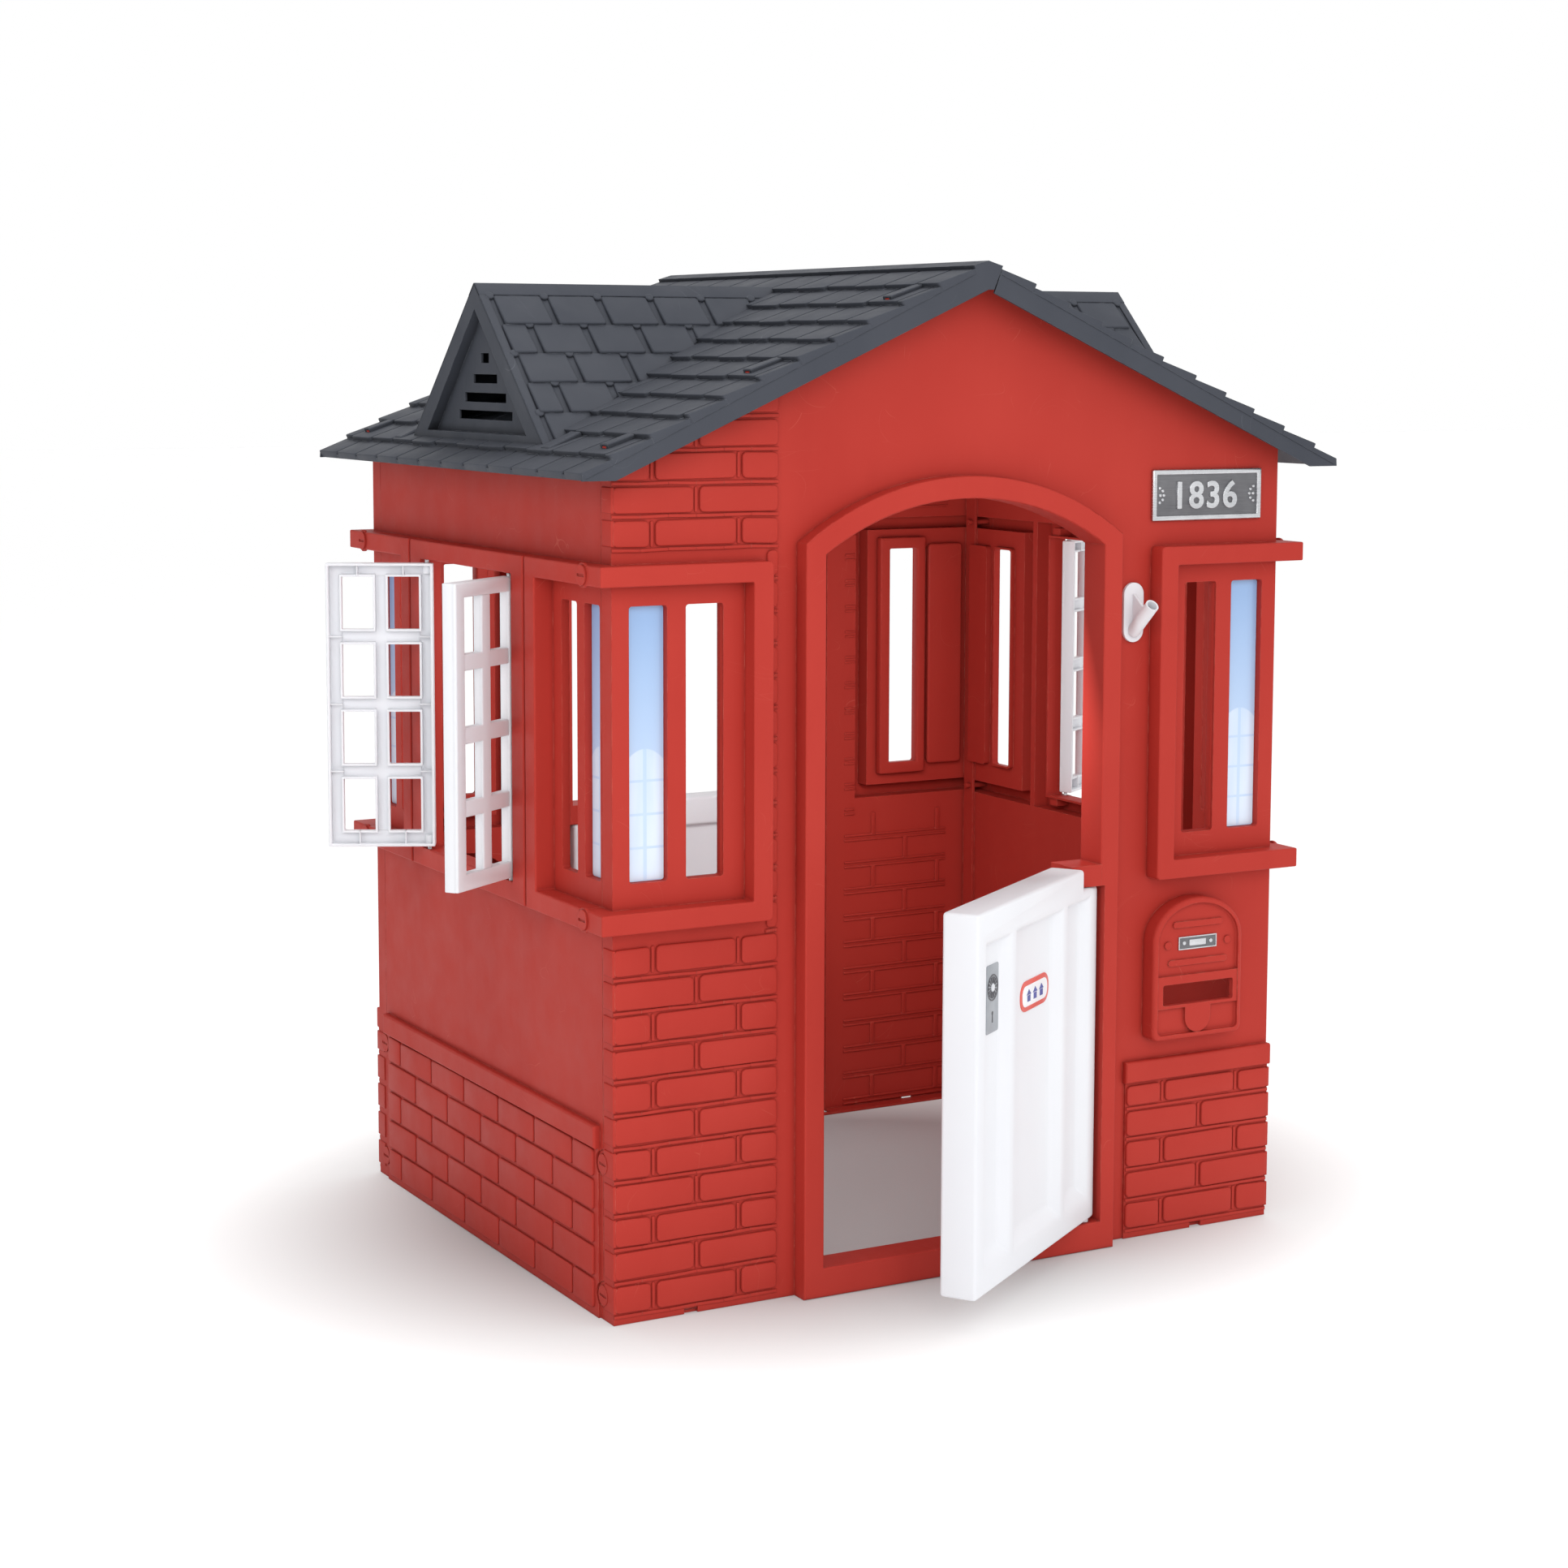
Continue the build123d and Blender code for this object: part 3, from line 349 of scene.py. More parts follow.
class Nodes:
    """Short names for building a node tree."""

    def __init__(self, name):
        self.material = bpy.data.materials.new(name)
        self.material.use_nodes = True
        self.tree = self.material.node_tree
        self.shader = self.tree.nodes["Principled BSDF"]
        self.coordinates = self.tree.nodes.new("ShaderNodeTexCoord")

    def link(self, output, socket):
        """Joins two sockets, or sets a value."""
        if isinstance(output, (int, float, tuple)):
            socket.default_value = output
        else:
            self.tree.links.new(output, socket)

    def mapped(self, scale=(1, 1, 1), source="Object", offset=(0, 0, 0)):
        """Texture coordinates, scaled."""
        node = self.tree.nodes.new("ShaderNodeMapping")
        set_inputs(node, Scale=scale, Location=offset)
        self.link(self.coordinates.outputs[source], node.inputs["Vector"])
        return node.outputs["Vector"]

    def noise(self, vector, scale, detail=3.0, distortion=0.0):
        """Fractal noise, 0 to 1."""
        node = self.tree.nodes.new("ShaderNodeTexNoise")
        set_inputs(node, Scale=scale, Detail=detail, Roughness=0.55, Distortion=distortion)
        self.link(vector, node.inputs["Vector"])
        return node.outputs["Fac"]

    def ramp(self, value, low, high, out_low=0.0, out_high=1.0):
        """Maps a value from one range to another, clamped."""
        node = map_range(self.tree, low, high, out_low, out_high)
        self.link(value, node.inputs["Value"])
        return node.outputs["Result"]

    def maths(self, operation, first, second=0.0):
        """One sum."""
        node = self.tree.nodes.new("ShaderNodeMath")
        node.operation = operation
        self.link(first, node.inputs[0])
        self.link(second, node.inputs[1])
        return node.outputs["Value"]

    def mix(self, factor, first, second):
        """Mixes two colours."""
        node = self.tree.nodes.new("ShaderNodeMix")
        node.data_type = "RGBA"
        self.link(factor, node.inputs["Factor"])
        self.link(first, node.inputs["A"])
        self.link(second, node.inputs["B"])
        return node.outputs["Result"]

    def scratches(self, scale, width, cover):
        """Hair scratches: thin curved lines where a wide noise allows them."""
        warp = self.noise(self.mapped(), scale * 0.6, 1.0)
        node = self.tree.nodes.new("ShaderNodeTexVoronoi")
        node.feature = "DISTANCE_TO_EDGE"
        node.inputs["Scale"].default_value = scale
        moved = self.tree.nodes.new("ShaderNodeVectorMath")
        moved.operation = "ADD"
        self.link(self.coordinates.outputs["Object"], moved.inputs[0])
        self.link(warp, moved.inputs[1])
        self.link(moved.outputs["Vector"], node.inputs["Vector"])
        line = self.ramp(node.outputs["Distance"], 0.0, width, 1.0, 0.0)
        patches = self.noise(self.mapped(offset=(3, 5, 7)), scale * 1.7, 1.0)
        area = self.ramp(patches, cover, cover + 0.05)
        return self.maths("MULTIPLY", line, area)

    def rounded(self, radius):
        """Normal that is rounded at sharp edges, and how near an edge a point is."""
        bevel = self.tree.nodes.new("ShaderNodeBevel")
        bevel.samples = 4
        bevel.inputs["Radius"].default_value = radius
        geometry = self.tree.nodes.new("ShaderNodeNewGeometry")
        dot = self.tree.nodes.new("ShaderNodeVectorMath")
        dot.operation = "DOT_PRODUCT"
        self.link(bevel.outputs["Normal"], dot.inputs[0])
        self.link(geometry.outputs["Normal"], dot.inputs[1])
        return bevel.outputs["Normal"], self.ramp(dot.outputs["Value"], 0.97, 0.75)

    def painted_groove_shade(self, reach, amount):
        """How much of a narrow groove or inner corner a point lies in, times an amount: the mask for painted shade
        in grooves and corners.
        """
        node = self.tree.nodes.new("ShaderNodeAmbientOcclusion")
        node.samples = 6
        node.only_local = False
        node.inputs["Distance"].default_value = reach
        return self.ramp(node.outputs["AO"], 0.25, 0.95, amount, 0.0)

    def bump(self, height, strength, distance, normal=None):
        """Bump from a height."""
        node = self.tree.nodes.new("ShaderNodeBump")
        set_inputs(node, Strength=strength, Distance=distance)
        self.link(height, node.inputs["Height"])
        if normal is not None:
            self.link(normal, node.inputs["Normal"])
        return node.outputs["Normal"]


def moulded_plastic(name, base, shade, worn_and_highlight, roughness, wear_and_highlight, crevice_shade=0.8, reach=0.007, glow=0.0):
    """Moulded plastic: cloudy colour, flow marks, a fine grain, hair scratches, edges that are partly rubbed and
    partly a painted highlight, and painted shade in grooves and corners.
    """
    nodes = Nodes(name)
    cloud = nodes.noise(nodes.mapped(), 3.2, 3.0)
    flow = nodes.noise(nodes.mapped((1.0, 1.0, 0.16)), 9.0, 4.0, distortion=0.6)
    blotch = nodes.maths("ADD", nodes.maths("MULTIPLY", cloud, 0.6), nodes.maths("MULTIPLY", flow, 0.4))
    colour = nodes.mix(nodes.ramp(blotch, 0.38, 0.64), shade, base)
    normal, edge = nodes.rounded(0.0012)
    scuffs = nodes.scratches(9.0, 0.0035, 0.60)
    chipped = nodes.ramp(nodes.noise(nodes.mapped(), 60.0, 3.0), 0.42, 0.66)
    # edges lightened towards the lighter colour: partly rubbed plastic, partly a painted highlight
    edge_wear_and_highlight = nodes.maths("MULTIPLY", nodes.maths("MULTIPLY", edge, chipped), wear_and_highlight)
    # painted shade: grooves and inner corners darkened towards a dark copy of the base colour
    colour = nodes.mix(nodes.painted_groove_shade(reach, crevice_shade), colour, tuple(0.42 * part for part in base[:3]) + (1,))
    colour = nodes.mix(nodes.maths("MULTIPLY", scuffs, 0.35 * wear_and_highlight), colour, worn_and_highlight)
    # painted highlight and rubbed plastic along the edges
    colour = nodes.mix(edge_wear_and_highlight, colour, worn_and_highlight)
    nodes.link(colour, nodes.shader.inputs["Base Color"])
    gloss = nodes.noise(nodes.mapped(), 28.0, 4.0)
    gloss = nodes.ramp(gloss, 0.3, 0.7, roughness - 0.06, roughness + 0.07)
    nodes.link(gloss, nodes.shader.inputs["Roughness"])
    grain = nodes.noise(nodes.mapped(), 900.0, 2.0)
    waves = nodes.noise(nodes.mapped(), 14.0, 2.0)
    normal = nodes.bump(grain, 0.10, 0.0002, normal)
    normal = nodes.bump(waves, 0.12, 0.004, normal)
    nodes.link(normal, nodes.shader.inputs["Normal"])
    set_inputs(nodes.shader, Specular_IOR_Level=0.11)
    if glow:
        set_inputs(nodes.shader, Subsurface_Weight=glow, Subsurface_Scale=1.0)
        set_inputs(nodes.shader, Subsurface_Radius=(0.004, 0.004, 0.004))
    return nodes.material


def sky_sticker(name, across):
    """Printed sky with a pale window reflection in its lower part."""
    nodes = Nodes(name)
    parts = nodes.tree.nodes.new("ShaderNodeSeparateXYZ")
    nodes.link(nodes.coordinates.outputs["Generated"], parts.inputs["Vector"])
    side, up = parts.outputs[across], parts.outputs["Z"]
    sky = nodes.mix(nodes.ramp(up, 0.05, 0.95), (0.62, 0.76, 0.95, 1), (0.30, 0.47, 0.76, 1))
    centred = nodes.maths("ABSOLUTE", nodes.maths("SUBTRACT", side, 0.5))
    arch = nodes.maths("SUBTRACT", 0.485, nodes.maths("MULTIPLY", nodes.maths("POWER", centred, 2.0), 0.16))
    inside = nodes.ramp(nodes.maths("SUBTRACT", arch, up), 0.0, 0.006)
    repeat = nodes.maths("FRACT", nodes.maths("MULTIPLY", up, 8.2))
    rows = nodes.maths("ABSOLUTE", nodes.maths("SUBTRACT", repeat, 0.5))
    bar = nodes.maths("MAXIMUM", nodes.ramp(rows, 0.455, 0.47), nodes.ramp(centred, 0.055, 0.04))
    glass = nodes.mix(bar, (0.76, 0.86, 0.98, 1), (0.55, 0.71, 0.93, 1))
    cloud = nodes.ramp(nodes.noise(nodes.mapped(source="Generated"), 2.2, 2.0), 0.35, 0.7, 0.35, 0.8)
    colour = nodes.mix(nodes.maths("MULTIPLY", inside, cloud), sky, glass)
    nodes.link(colour, nodes.shader.inputs["Base Color"])
    dots = nodes.noise(nodes.mapped(), 1400.0, 1.0)
    nodes.link(nodes.bump(dots, 0.05, 0.0001), nodes.shader.inputs["Normal"])
    set_inputs(nodes.shader, Roughness=0.28, Coat_Weight=0.3)
    return nodes.material


def brushed_metal(name, base, dark, roughness, metallic):
    """Brushed or printed metal."""
    nodes = Nodes(name)
    lines = nodes.noise(nodes.mapped((1, 1, 40)), 40.0, 5.0)
    cloud = nodes.noise(nodes.mapped(), 22.0, 3.0)
    blend = nodes.maths("ADD", nodes.maths("MULTIPLY", lines, 0.5), nodes.maths("MULTIPLY", cloud, 0.5))
    nodes.link(nodes.mix(nodes.ramp(blend, 0.35, 0.65), dark, base), nodes.shader.inputs["Base Color"])
    gloss = nodes.ramp(lines, 0.3, 0.7, roughness - 0.08, roughness + 0.08)
    nodes.link(gloss, nodes.shader.inputs["Roughness"])
    normal, _ = nodes.rounded(0.0006)
    nodes.link(nodes.bump(lines, 0.08, 0.0002, normal), nodes.shader.inputs["Normal"])
    set_inputs(nodes.shader, Metallic=metallic)
    return nodes.material


def printed(name, base, shade):
    """Printed vinyl."""
    nodes = Nodes(name)
    tone = nodes.noise(nodes.mapped(), 45.0, 3.0)
    nodes.link(nodes.mix(nodes.ramp(tone, 0.35, 0.65), shade, base), nodes.shader.inputs["Base Color"])
    grain = nodes.noise(nodes.mapped(), 1500.0, 1.0)
    nodes.link(nodes.bump(grain, 0.05, 0.0001), nodes.shader.inputs["Normal"])
    set_inputs(nodes.shader, Roughness=0.35, Coat_Weight=0.2)
    return nodes.material


# each plastic's lighter colour serves hair scratches and edges that are partly rubbed and partly a painted
# highlight; grooves and inner corners get painted shade
RED = moulded_plastic("red_plastic", (0.470, 0.043, 0.031, 1), (0.435, 0.036, 0.026, 1),
                      (0.68, 0.19, 0.14, 1), 0.50, 0.9, crevice_shade=0.62)
GREY = moulded_plastic("roof_plastic", (0.066, 0.071, 0.086, 1), (0.053, 0.058, 0.072, 1),
                       (0.19, 0.205, 0.23, 1), 0.55, 1.0, crevice_shade=1.0, reach=0.012)
WHITE = moulded_plastic("white_plastic", (0.80, 0.81, 0.84, 1), (0.775, 0.785, 0.82, 1),
                        (0.9, 0.9, 0.91, 1), 0.36, 0.2, crevice_shade=0.12, glow=0.05)
SILVER = brushed_metal("plate_silver", (0.72, 0.73, 0.75, 1), (0.5, 0.51, 0.53, 1), 0.26, 0.9)
PLATE_FIELD = brushed_metal("plate_field", (0.2, 0.2, 0.21, 1), (0.12, 0.12, 0.13, 1), 0.42, 0.6)
SKY_X = sky_sticker("sky_decal_gable", "X")
SKY_Y = sky_sticker("sky_decal_side", "Y")
LOCK = printed("lock_label", (0.34, 0.36, 0.39, 1), (0.27, 0.29, 0.32, 1))
LOCK_LIGHT = printed("lock_label_light", (0.72, 0.74, 0.77, 1), (0.6, 0.62, 0.66, 1))
LOCK_DARK = printed("lock_label_dark", (0.06, 0.06, 0.07, 1), (0.04, 0.04, 0.05, 1))
BADGE_RED = printed("badge_red", (0.72, 0.085, 0.06, 1), (0.64, 0.07, 0.05, 1))
BADGE_WHITE = printed("badge_white", (0.88, 0.88, 0.9, 1), (0.82, 0.83, 0.86, 1))
BADGE_BLUE = printed("badge_blue", (0.05, 0.08, 0.35, 1), (0.04, 0.06, 0.28, 1))


def dress_cad():
    """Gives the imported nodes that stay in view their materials."""
    by_slot = {"red_plastic": RED, "roof_plastic": GREY, "white_plastic": WHITE, "plate_silver": SILVER,
               "sky_decal": SKY_X, "lock_label": LOCK, "badge_label": BADGE_WHITE}
    for entry in frame["record"]["subparts"]:
        node = frame["nodes"][entry["node"]]
        material = by_slot[entry["material_slot"]]
        if entry["material_slot"] == "sky_decal" and entry["node"].startswith(("left", "right")):
            material = SKY_Y
        node.data.materials.clear()
        node.data.materials.append(material)


# -------------------- masonry
def wavy(x, z):
    """Slight unevenness of the masonry lines."""
    return 0.0005 * sin(71 * x + 9 * z) + 0.0004 * sin(163 * x - 31 * z)


def on_front_wavy(x, z, out):
    """Front face, with uneven lines."""
    return on_front(x, z + wavy(x, z), out)


def on_plinth(x, z, out):
    """Face of the front wall's plinth, with uneven lines."""
    return on_front_wavy(x, z, out + PLINTH_PROUD)


def masonry_rows():
    """The column's rows: height range, whether the window frame covers part of it, and upright joints."""
    levels = [FIRST_JOINT + BRICK_Z * k for k in range(LOWER_ROWS)]
    levels += [levels[-1] + UPPER_BRICK_Z * k for k in range(1, UPPER_ROWS + 1)]
    rows = []
    for k, (low, high) in enumerate(zip(levels, levels[1:])):
        hidden = FRAME_LOW < (low + high) / 2 < FRAME_HIGH
        short_ends = k % 2 == (0 if k < LOWER_ROWS else 1)
        joints = () if hidden else SHORT_BOND if short_ends else LONG_BOND
        rows.append((low, high, hidden, joints))
    return rows


def brick_row(bm, edges, low, high, where):
    """Raised bricks of one row, between its upright joints."""
    gap = BRICK_GAP / 2
    for left, right in zip(edges, edges[1:]):
        ring = rectangle(left + gap, right - gap, low + gap, high - gap, BRICK_RADIUS)
        pad(bm, ring, BRICK_PROUD, BRICK_EDGE, where)


def uprights(bm, joints, low, high, where):
    """Mortar of one row's upright joints."""
    gap = BRICK_GAP / 2
    for x in joints:
        ring = rectangle(x - MORTAR / 2, x + MORTAR / 2, low + gap, high - gap, 0.0015)
        pad(bm, ring, UPRIGHT_PROUD, JOINT_EDGE, where)


def bed(bm, left, right, level, where):
    """Mortar under a row, from left to right."""
    pad(bm, rectangle(left, right, level - MORTAR / 2, level + MORTAR / 2), BED_PROUD, JOINT_EDGE, where)


def corner_return(bm, left, low, high, where):
    """Short end of a brick that wraps round the wall's corner, no deeper into the house than the wall."""
    gap = BRICK_GAP / 2
    ring = rectangle(left, left + CORNER_THICK, low + gap, high - gap, 0.0012)
    pad(bm, ring, BRICK_PROUD - 0.0007, 0.0010, where, base=-CORNER_DEPTH)


def brick_column():
    """Raised bricks and mortar up the left of the front wall, clipped by the roof."""
    bm = bmesh.new()
    gap = BRICK_GAP / 2
    spans = 6
    overlap = 0.0002
    for low, high, hidden, joints in masonry_rows():
        start = FRAME_RIGHT if hidden else 0.0
        brick_row(bm, [start - gap + 0.0008, *joints, COLUMN + gap - 0.002], low, high, on_front_wavy)
        if not hidden:
            corner_return(bm, -CORNER_WRAP, low, high, on_front_wavy)
        uprights(bm, joints, low, high, on_front_wavy)
        first = start + (0.0 if hidden else overlap)
        width = (COLUMN - 0.001 - first) / spans
        for k in range(spans):
            bed(bm, first + k * width - overlap, first + (k + 1) * width, low, on_front_wavy)
    upwards = Vector((-sin(SLOPE), 0, cos(SLOPE)))
    roof_underside = -0.0082
    cut_away(bm, on_slope(0, 0, roof_underside), upwards)
    column = piece("brick_column", bm, RED, "red_plastic")
    half_turn(column, "brick_column_back")


def plinth_bricks():
    """Raised bricks at the front wall's lower right."""
    bm = bmesh.new()
    gap = BRICK_GAP / 2
    levels = [FIRST_JOINT + BRICK_Z * k for k in range(5)] + [PLINTH_TOP]
    for row, (low, high) in enumerate(zip(levels, levels[1:])):
        joints = [0.838] if row % 2 else [0.780, 0.897]
        brick_row(bm, [PLINTH_X - gap + 0.001, *joints, WIDTH + gap - 0.0008], low, high, on_plinth)
        corner_return(bm, WIDTH + CORNER_WRAP - CORNER_THICK, low, high, on_plinth)
        uprights(bm, joints, low, high, on_plinth)
        bed(bm, PLINTH_X + 0.001, WIDTH, low, on_plinth)
    bricks = piece("plinth_bricks", bm, RED, "red_plastic")
    half_turn(bricks, "plinth_bricks_back")


def side_bricks():
    """Lower masonry of the side walls: flat bricks between thin grooves."""
    bm = bmesh.new()
    joints_z = [0.008, 0.047, 0.087, 0.127, 0.167, 0.2035]
    margin = 0.0435
    end = DEPTH - margin
    pitch = 0.110
    groove = 0.0018          # half the width of a groove

    def where(y, z, out):
        return on_left(y, z + 0.6 * wavy(y, z), out + PLINTH_PROUD)

    for row, (low, high) in enumerate(zip(joints_z, joints_z[1:])):
        first = 0.103 if row % 2 == 0 else 0.159
        joints = [first + pitch * k for k in range(7) if first + pitch * k < end - 0.02]
        edges = [margin, *joints, end]
        for left, right in zip(edges, edges[1:]):
            ring = rectangle(left + groove, right - groove, low + groove, high - groove, 0.0045)
            pad(bm, ring, 0.0028, 0.0015, where)
    bricks = piece("side_bricks_left", bm, RED, "red_plastic")
    half_turn(bricks, "side_bricks_right")


def inner_masonry():
    """The back of the masonry, seen from inside: raised joints in place of the outer grooves."""
    bm = bmesh.new()
    bar = 0.0035             # from a joint's middle to each of its raised lines
    top = 0.98
    right = COLUMN - 0.004
    for low, high, hidden, joints in masonry_rows():
        if high > top:
            continue
        left = 0.196 if hidden else 0.036
        for level in (low - bar, low + bar):
            ring = rectangle(left, right, level - 0.0016, level + 0.0016)
            pad(bm, ring, 0.0016, 0.001, in_front)
        for x in joints:
            ring = rectangle(x - bar, x + bar, low + bar, high - bar, 0.001)
            pad(bm, ring, 0.0022, 0.0012, in_front)
    relief = piece("inner_masonry_front", bm, RED, "red_plastic")
    half_turn(relief, "inner_masonry_back")


def window_trays():
    """Raised frame round each corner window, on the inside, and the backs of the blind panes."""
    bm = bmesh.new()
    outer = (0.082, 0.160, 0.505, 0.858)
    pane = (0.0955, 0.1435, 0.5215, 0.8415)
    slab(bm, frame_cells(outer, pane), 0.014, 0.0, in_front, 0.0025)
    pad(bm, rectangle(0.017, 0.076, 0.516, 0.847, 0.006), 0.0128, 0.003, in_front, base=0.009)
    frames = piece("gable_window_trays", bm, RED, "red_plastic")
    half_turn(frames, "gable_window_trays_back")
    far = mirrored(frames, "gable_window_trays_right", Vector((1, 0, 0)))
    half_turn(far, "gable_window_trays_back_right")


# -------------------- roof
def shingle_ranges(low, high, row):
    """Shingles along one row, as ranges along the house."""
    pitch, gap = SHINGLE_PITCH, SHINGLE_GAP
    first = 0.0046 + (pitch / 2 if row % 2 else 0.0)
    while first > low:
        first -= pitch
    edges = []
    place_y = first
    while place_y < high:
        edges.append((max(place_y + gap / 2, low), min(place_y + pitch - gap / 2, high)))
        place_y += pitch
    return [(a, b) for a, b in edges if b - a > 0.012]


def shingles():
    """Every shingle of the left slope; each row's lip covers the top of the row below."""
    bm = bmesh.new()
    starts = [0.0] + [FIRST_ROW + ROW * k for k in range(10)]
    ends = [*starts[1:], SLOPE_LENGTH - CAP]
    low_y, high_y = -VERGE - 0.0006, DEPTH + VERGE + 0.0006
    for row, (start, end) in enumerate(zip(starts, ends)):
        lip = 0.0006 if row == 0 else 0.0026

        def where(s, y, n, start=start, end=end, row=row):
            if n < 0:
                return on_slope(s, y, n)
            rise = 0.0044 if row else 0.0014
            fall = (rise + 0.0010) * (s - start) / (end - start)
            uneven = 0.0005 * sin(37 * y + 5 * row)
            return on_slope(s + uneven, y, n - SHINGLE_THICK + rise - fall)

        for k, (a, b) in enumerate(shingle_ranges(low_y, high_y, row)):
            stagger = 0.0018 * (1 + sin(2.3 * k + 1.7 * row)) if row else 0.0
            ring = rectangle(start - lip - stagger, end - 0.0004, a, b, 0.0036)
            pad(bm, ring, SHINGLE_THICK, 0.0011, where, base=-0.0072)
    left = piece("shingles_left", bm, GREY, "roof_plastic")
    mirrored(left, "shingles_right", Vector((1, 0, 0)))


def hook_tips():
    """Tips of the gable walls' hooks, in the mouths of their latch covers."""
    bm = bmesh.new()
    for x in HOOK_X:
        start = (x - 0.014 + EAVE) / cos(SLOPE)
        for y in (0.002, DEPTH - 0.002):
            ring = rectangle(start - 0.0006, start + 0.010, y - 0.0044, y + 0.0044, 0.001)
            pad(bm, ring, 0.0052, 0.0008, on_slope, base=-0.003)
    left = piece("hook_tips_left", bm, RED, "red_plastic")
    mirrored(left, "hook_tips_right", Vector((1, 0, 0)))


def dormer_shingles():
    """Large shingles on both faces of each dormer, with the cap along its ridge."""
    top = hood_high.z
    half = hood_high.y - MIDDLE.y
    front = hood_low.x
    low_z = 1.021
    pitch_angle = atan2(top - low_z, half)
    length = hypot(half, top - low_z)
    bm = bmesh.new()

    def where(x, t, n):
        """Point x along the ridge from the dormer's front, t down its slope and n above it."""
        return MIDDLE + Vector((front + x, -t * cos(pitch_angle) - n * sin(pitch_angle),
                                top - t * sin(pitch_angle) + n * cos(pitch_angle)))

    rim = 0.013
    pitch, half_gap = 0.073, 0.0045
    back = 0.44
    rows = [0.022 + 0.051 * k for k in range(6)]
    for row, (low, high) in enumerate(zip(rows, rows[1:])):
        high = min(high, length - 0.001)

        def sloped(x, t, n, low=low, high=high):
            if n < 0:
                return where(x, t, n)
            return where(x, t, n - 0.0030 * (high - t) / (high - low))

        x = rim - (pitch / 2 if row % 2 else 0.0)
        while x < back:
            left, right = max(x + half_gap, rim), x + pitch - half_gap
            if right - left > 0.012:
                ring = rectangle(left, right, low - 0.001, high + 0.0012, 0.004)
                pad(bm, ring, 0.0052, 0.0026, sloped, steps=4)
            if left > rim:
                pad(bm, disc(x, low + 0.0005, 0.0058, 16), 0.0034, 0.0016, where)
            x += pitch
    pad(bm, rectangle(0.0, 0.47, 0.0, 0.0215, 0.0), 0.003, 0.0012, where)
    pad(bm, rectangle(0.0, rim - 0.002, 0.0, length, 0.0), 0.0022, 0.001, where)
    valley = Vector((-sin(SLOPE), 0, cos(SLOPE)))
    cut_away(bm, on_slope(0, 0, -0.0045), -valley)
    near = piece("dormer_shingles_left_front", bm, GREY, "roof_plastic")
    far = mirrored(near, "dormer_shingles_left_back", Vector((0, 1, 0)))
    half_turn(near, "dormer_shingles_right_back")
    half_turn(far, "dormer_shingles_right_front")


# -------------------- doors
DOOR_W = 0.385
DOOR_T = 0.046
DOOR_LOW, DOOR_HIGH = 0.0405, 0.494
NOTCH_W, NOTCH_H = 0.047, 0.027
DOOR_PANELS = ((0.026, 0.102), (0.118, 0.268), (0.284, 0.361))
PANEL_LOW, PANEL_HIGH = 0.071, 0.455
PANEL_DEPTH = 0.011
PANEL_FLARE = 0.017
DOOR_EDGE = 0.010
FRONT_DOOR_OPEN = 34.5       # degrees, as the door stands


def hinge_place(name):
    """A joint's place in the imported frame."""
    joint = next(j for j in frame["joints"] if j["name"] == name)
    return Vector(joint["pos_m"])


def door_map(hinge, angle, flip):
    """Map from a door's own coordinates (u from the free edge, z, v inwards), opened by an angle."""
    turn = Matrix.Rotation(radians(angle), 4, "Z")
    around = Matrix.Rotation(pi if flip else 0.0, 4, "Z")

    def where(u, z, v):
        local = Vector((u - (DOOR_W - DOOR_EDGE), v - DOOR_EDGE, 0))
        turned = around @ (turn @ local)
        return Vector((hinge.x + turned.x, hinge.y + turned.y, z))
    return where


def door(name, where, body, node):
    """Half door: a thick moulded leaf with three sunk panels on both faces, and its pins."""
    bm = bmesh.new()
    notch_u = DOOR_W - NOTCH_W
    us = sorted({0.0, DOOR_W, *(u for panel in DOOR_PANELS for u in panel)})
    panels = [(u0, u1, PANEL_LOW, PANEL_HIGH) for u0, u1 in DOOR_PANELS]
    rects = cells(us, [DOOR_LOW, PANEL_LOW, PANEL_HIGH, DOOR_HIGH - NOTCH_H], panels)
    rects += cells([u for u in us if u < notch_u] + [notch_u], [DOOR_HIGH - NOTCH_H, DOOR_HIGH])
    trays = []
    for u0, u1, v0, v1 in panels:
        floor = (u0 + 0.003, u1 - PANEL_FLARE, v0 + PANEL_FLARE, v1 - 0.003)
        trays.append(((u0, u1, v0, v1), floor, PANEL_DEPTH))
    slab(bm, rects, 0.0, DOOR_T, where, 0.0046, 4, trays)
    leaf = piece(name, bm, WHITE, "white_plastic", body)
    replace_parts(leaf, node)
    pins = bmesh.new()
    hinge_u = DOOR_W - DOOR_EDGE
    shoulder = DOOR_HIGH - NOTCH_H
    for low, high in ((shoulder - 0.001, shoulder + 0.019), (0.0335, DOOR_LOW + 0.001)):
        def on_axis(u, v, n, low=low):
            return where(hinge_u + u, low + n, DOOR_EDGE + v)
        pad(pins, disc(0, 0, 0.006), high - low, 0.0012, on_axis, base=0.0)
    piece(name + "_pins", pins, WHITE, "white_plastic", body)


def panel_map(where):
    """Map onto the floor of a door's sunk panels."""
    def on_panel(u, z, out):
        return where(u, z, PANEL_DEPTH - out)
    return on_panel


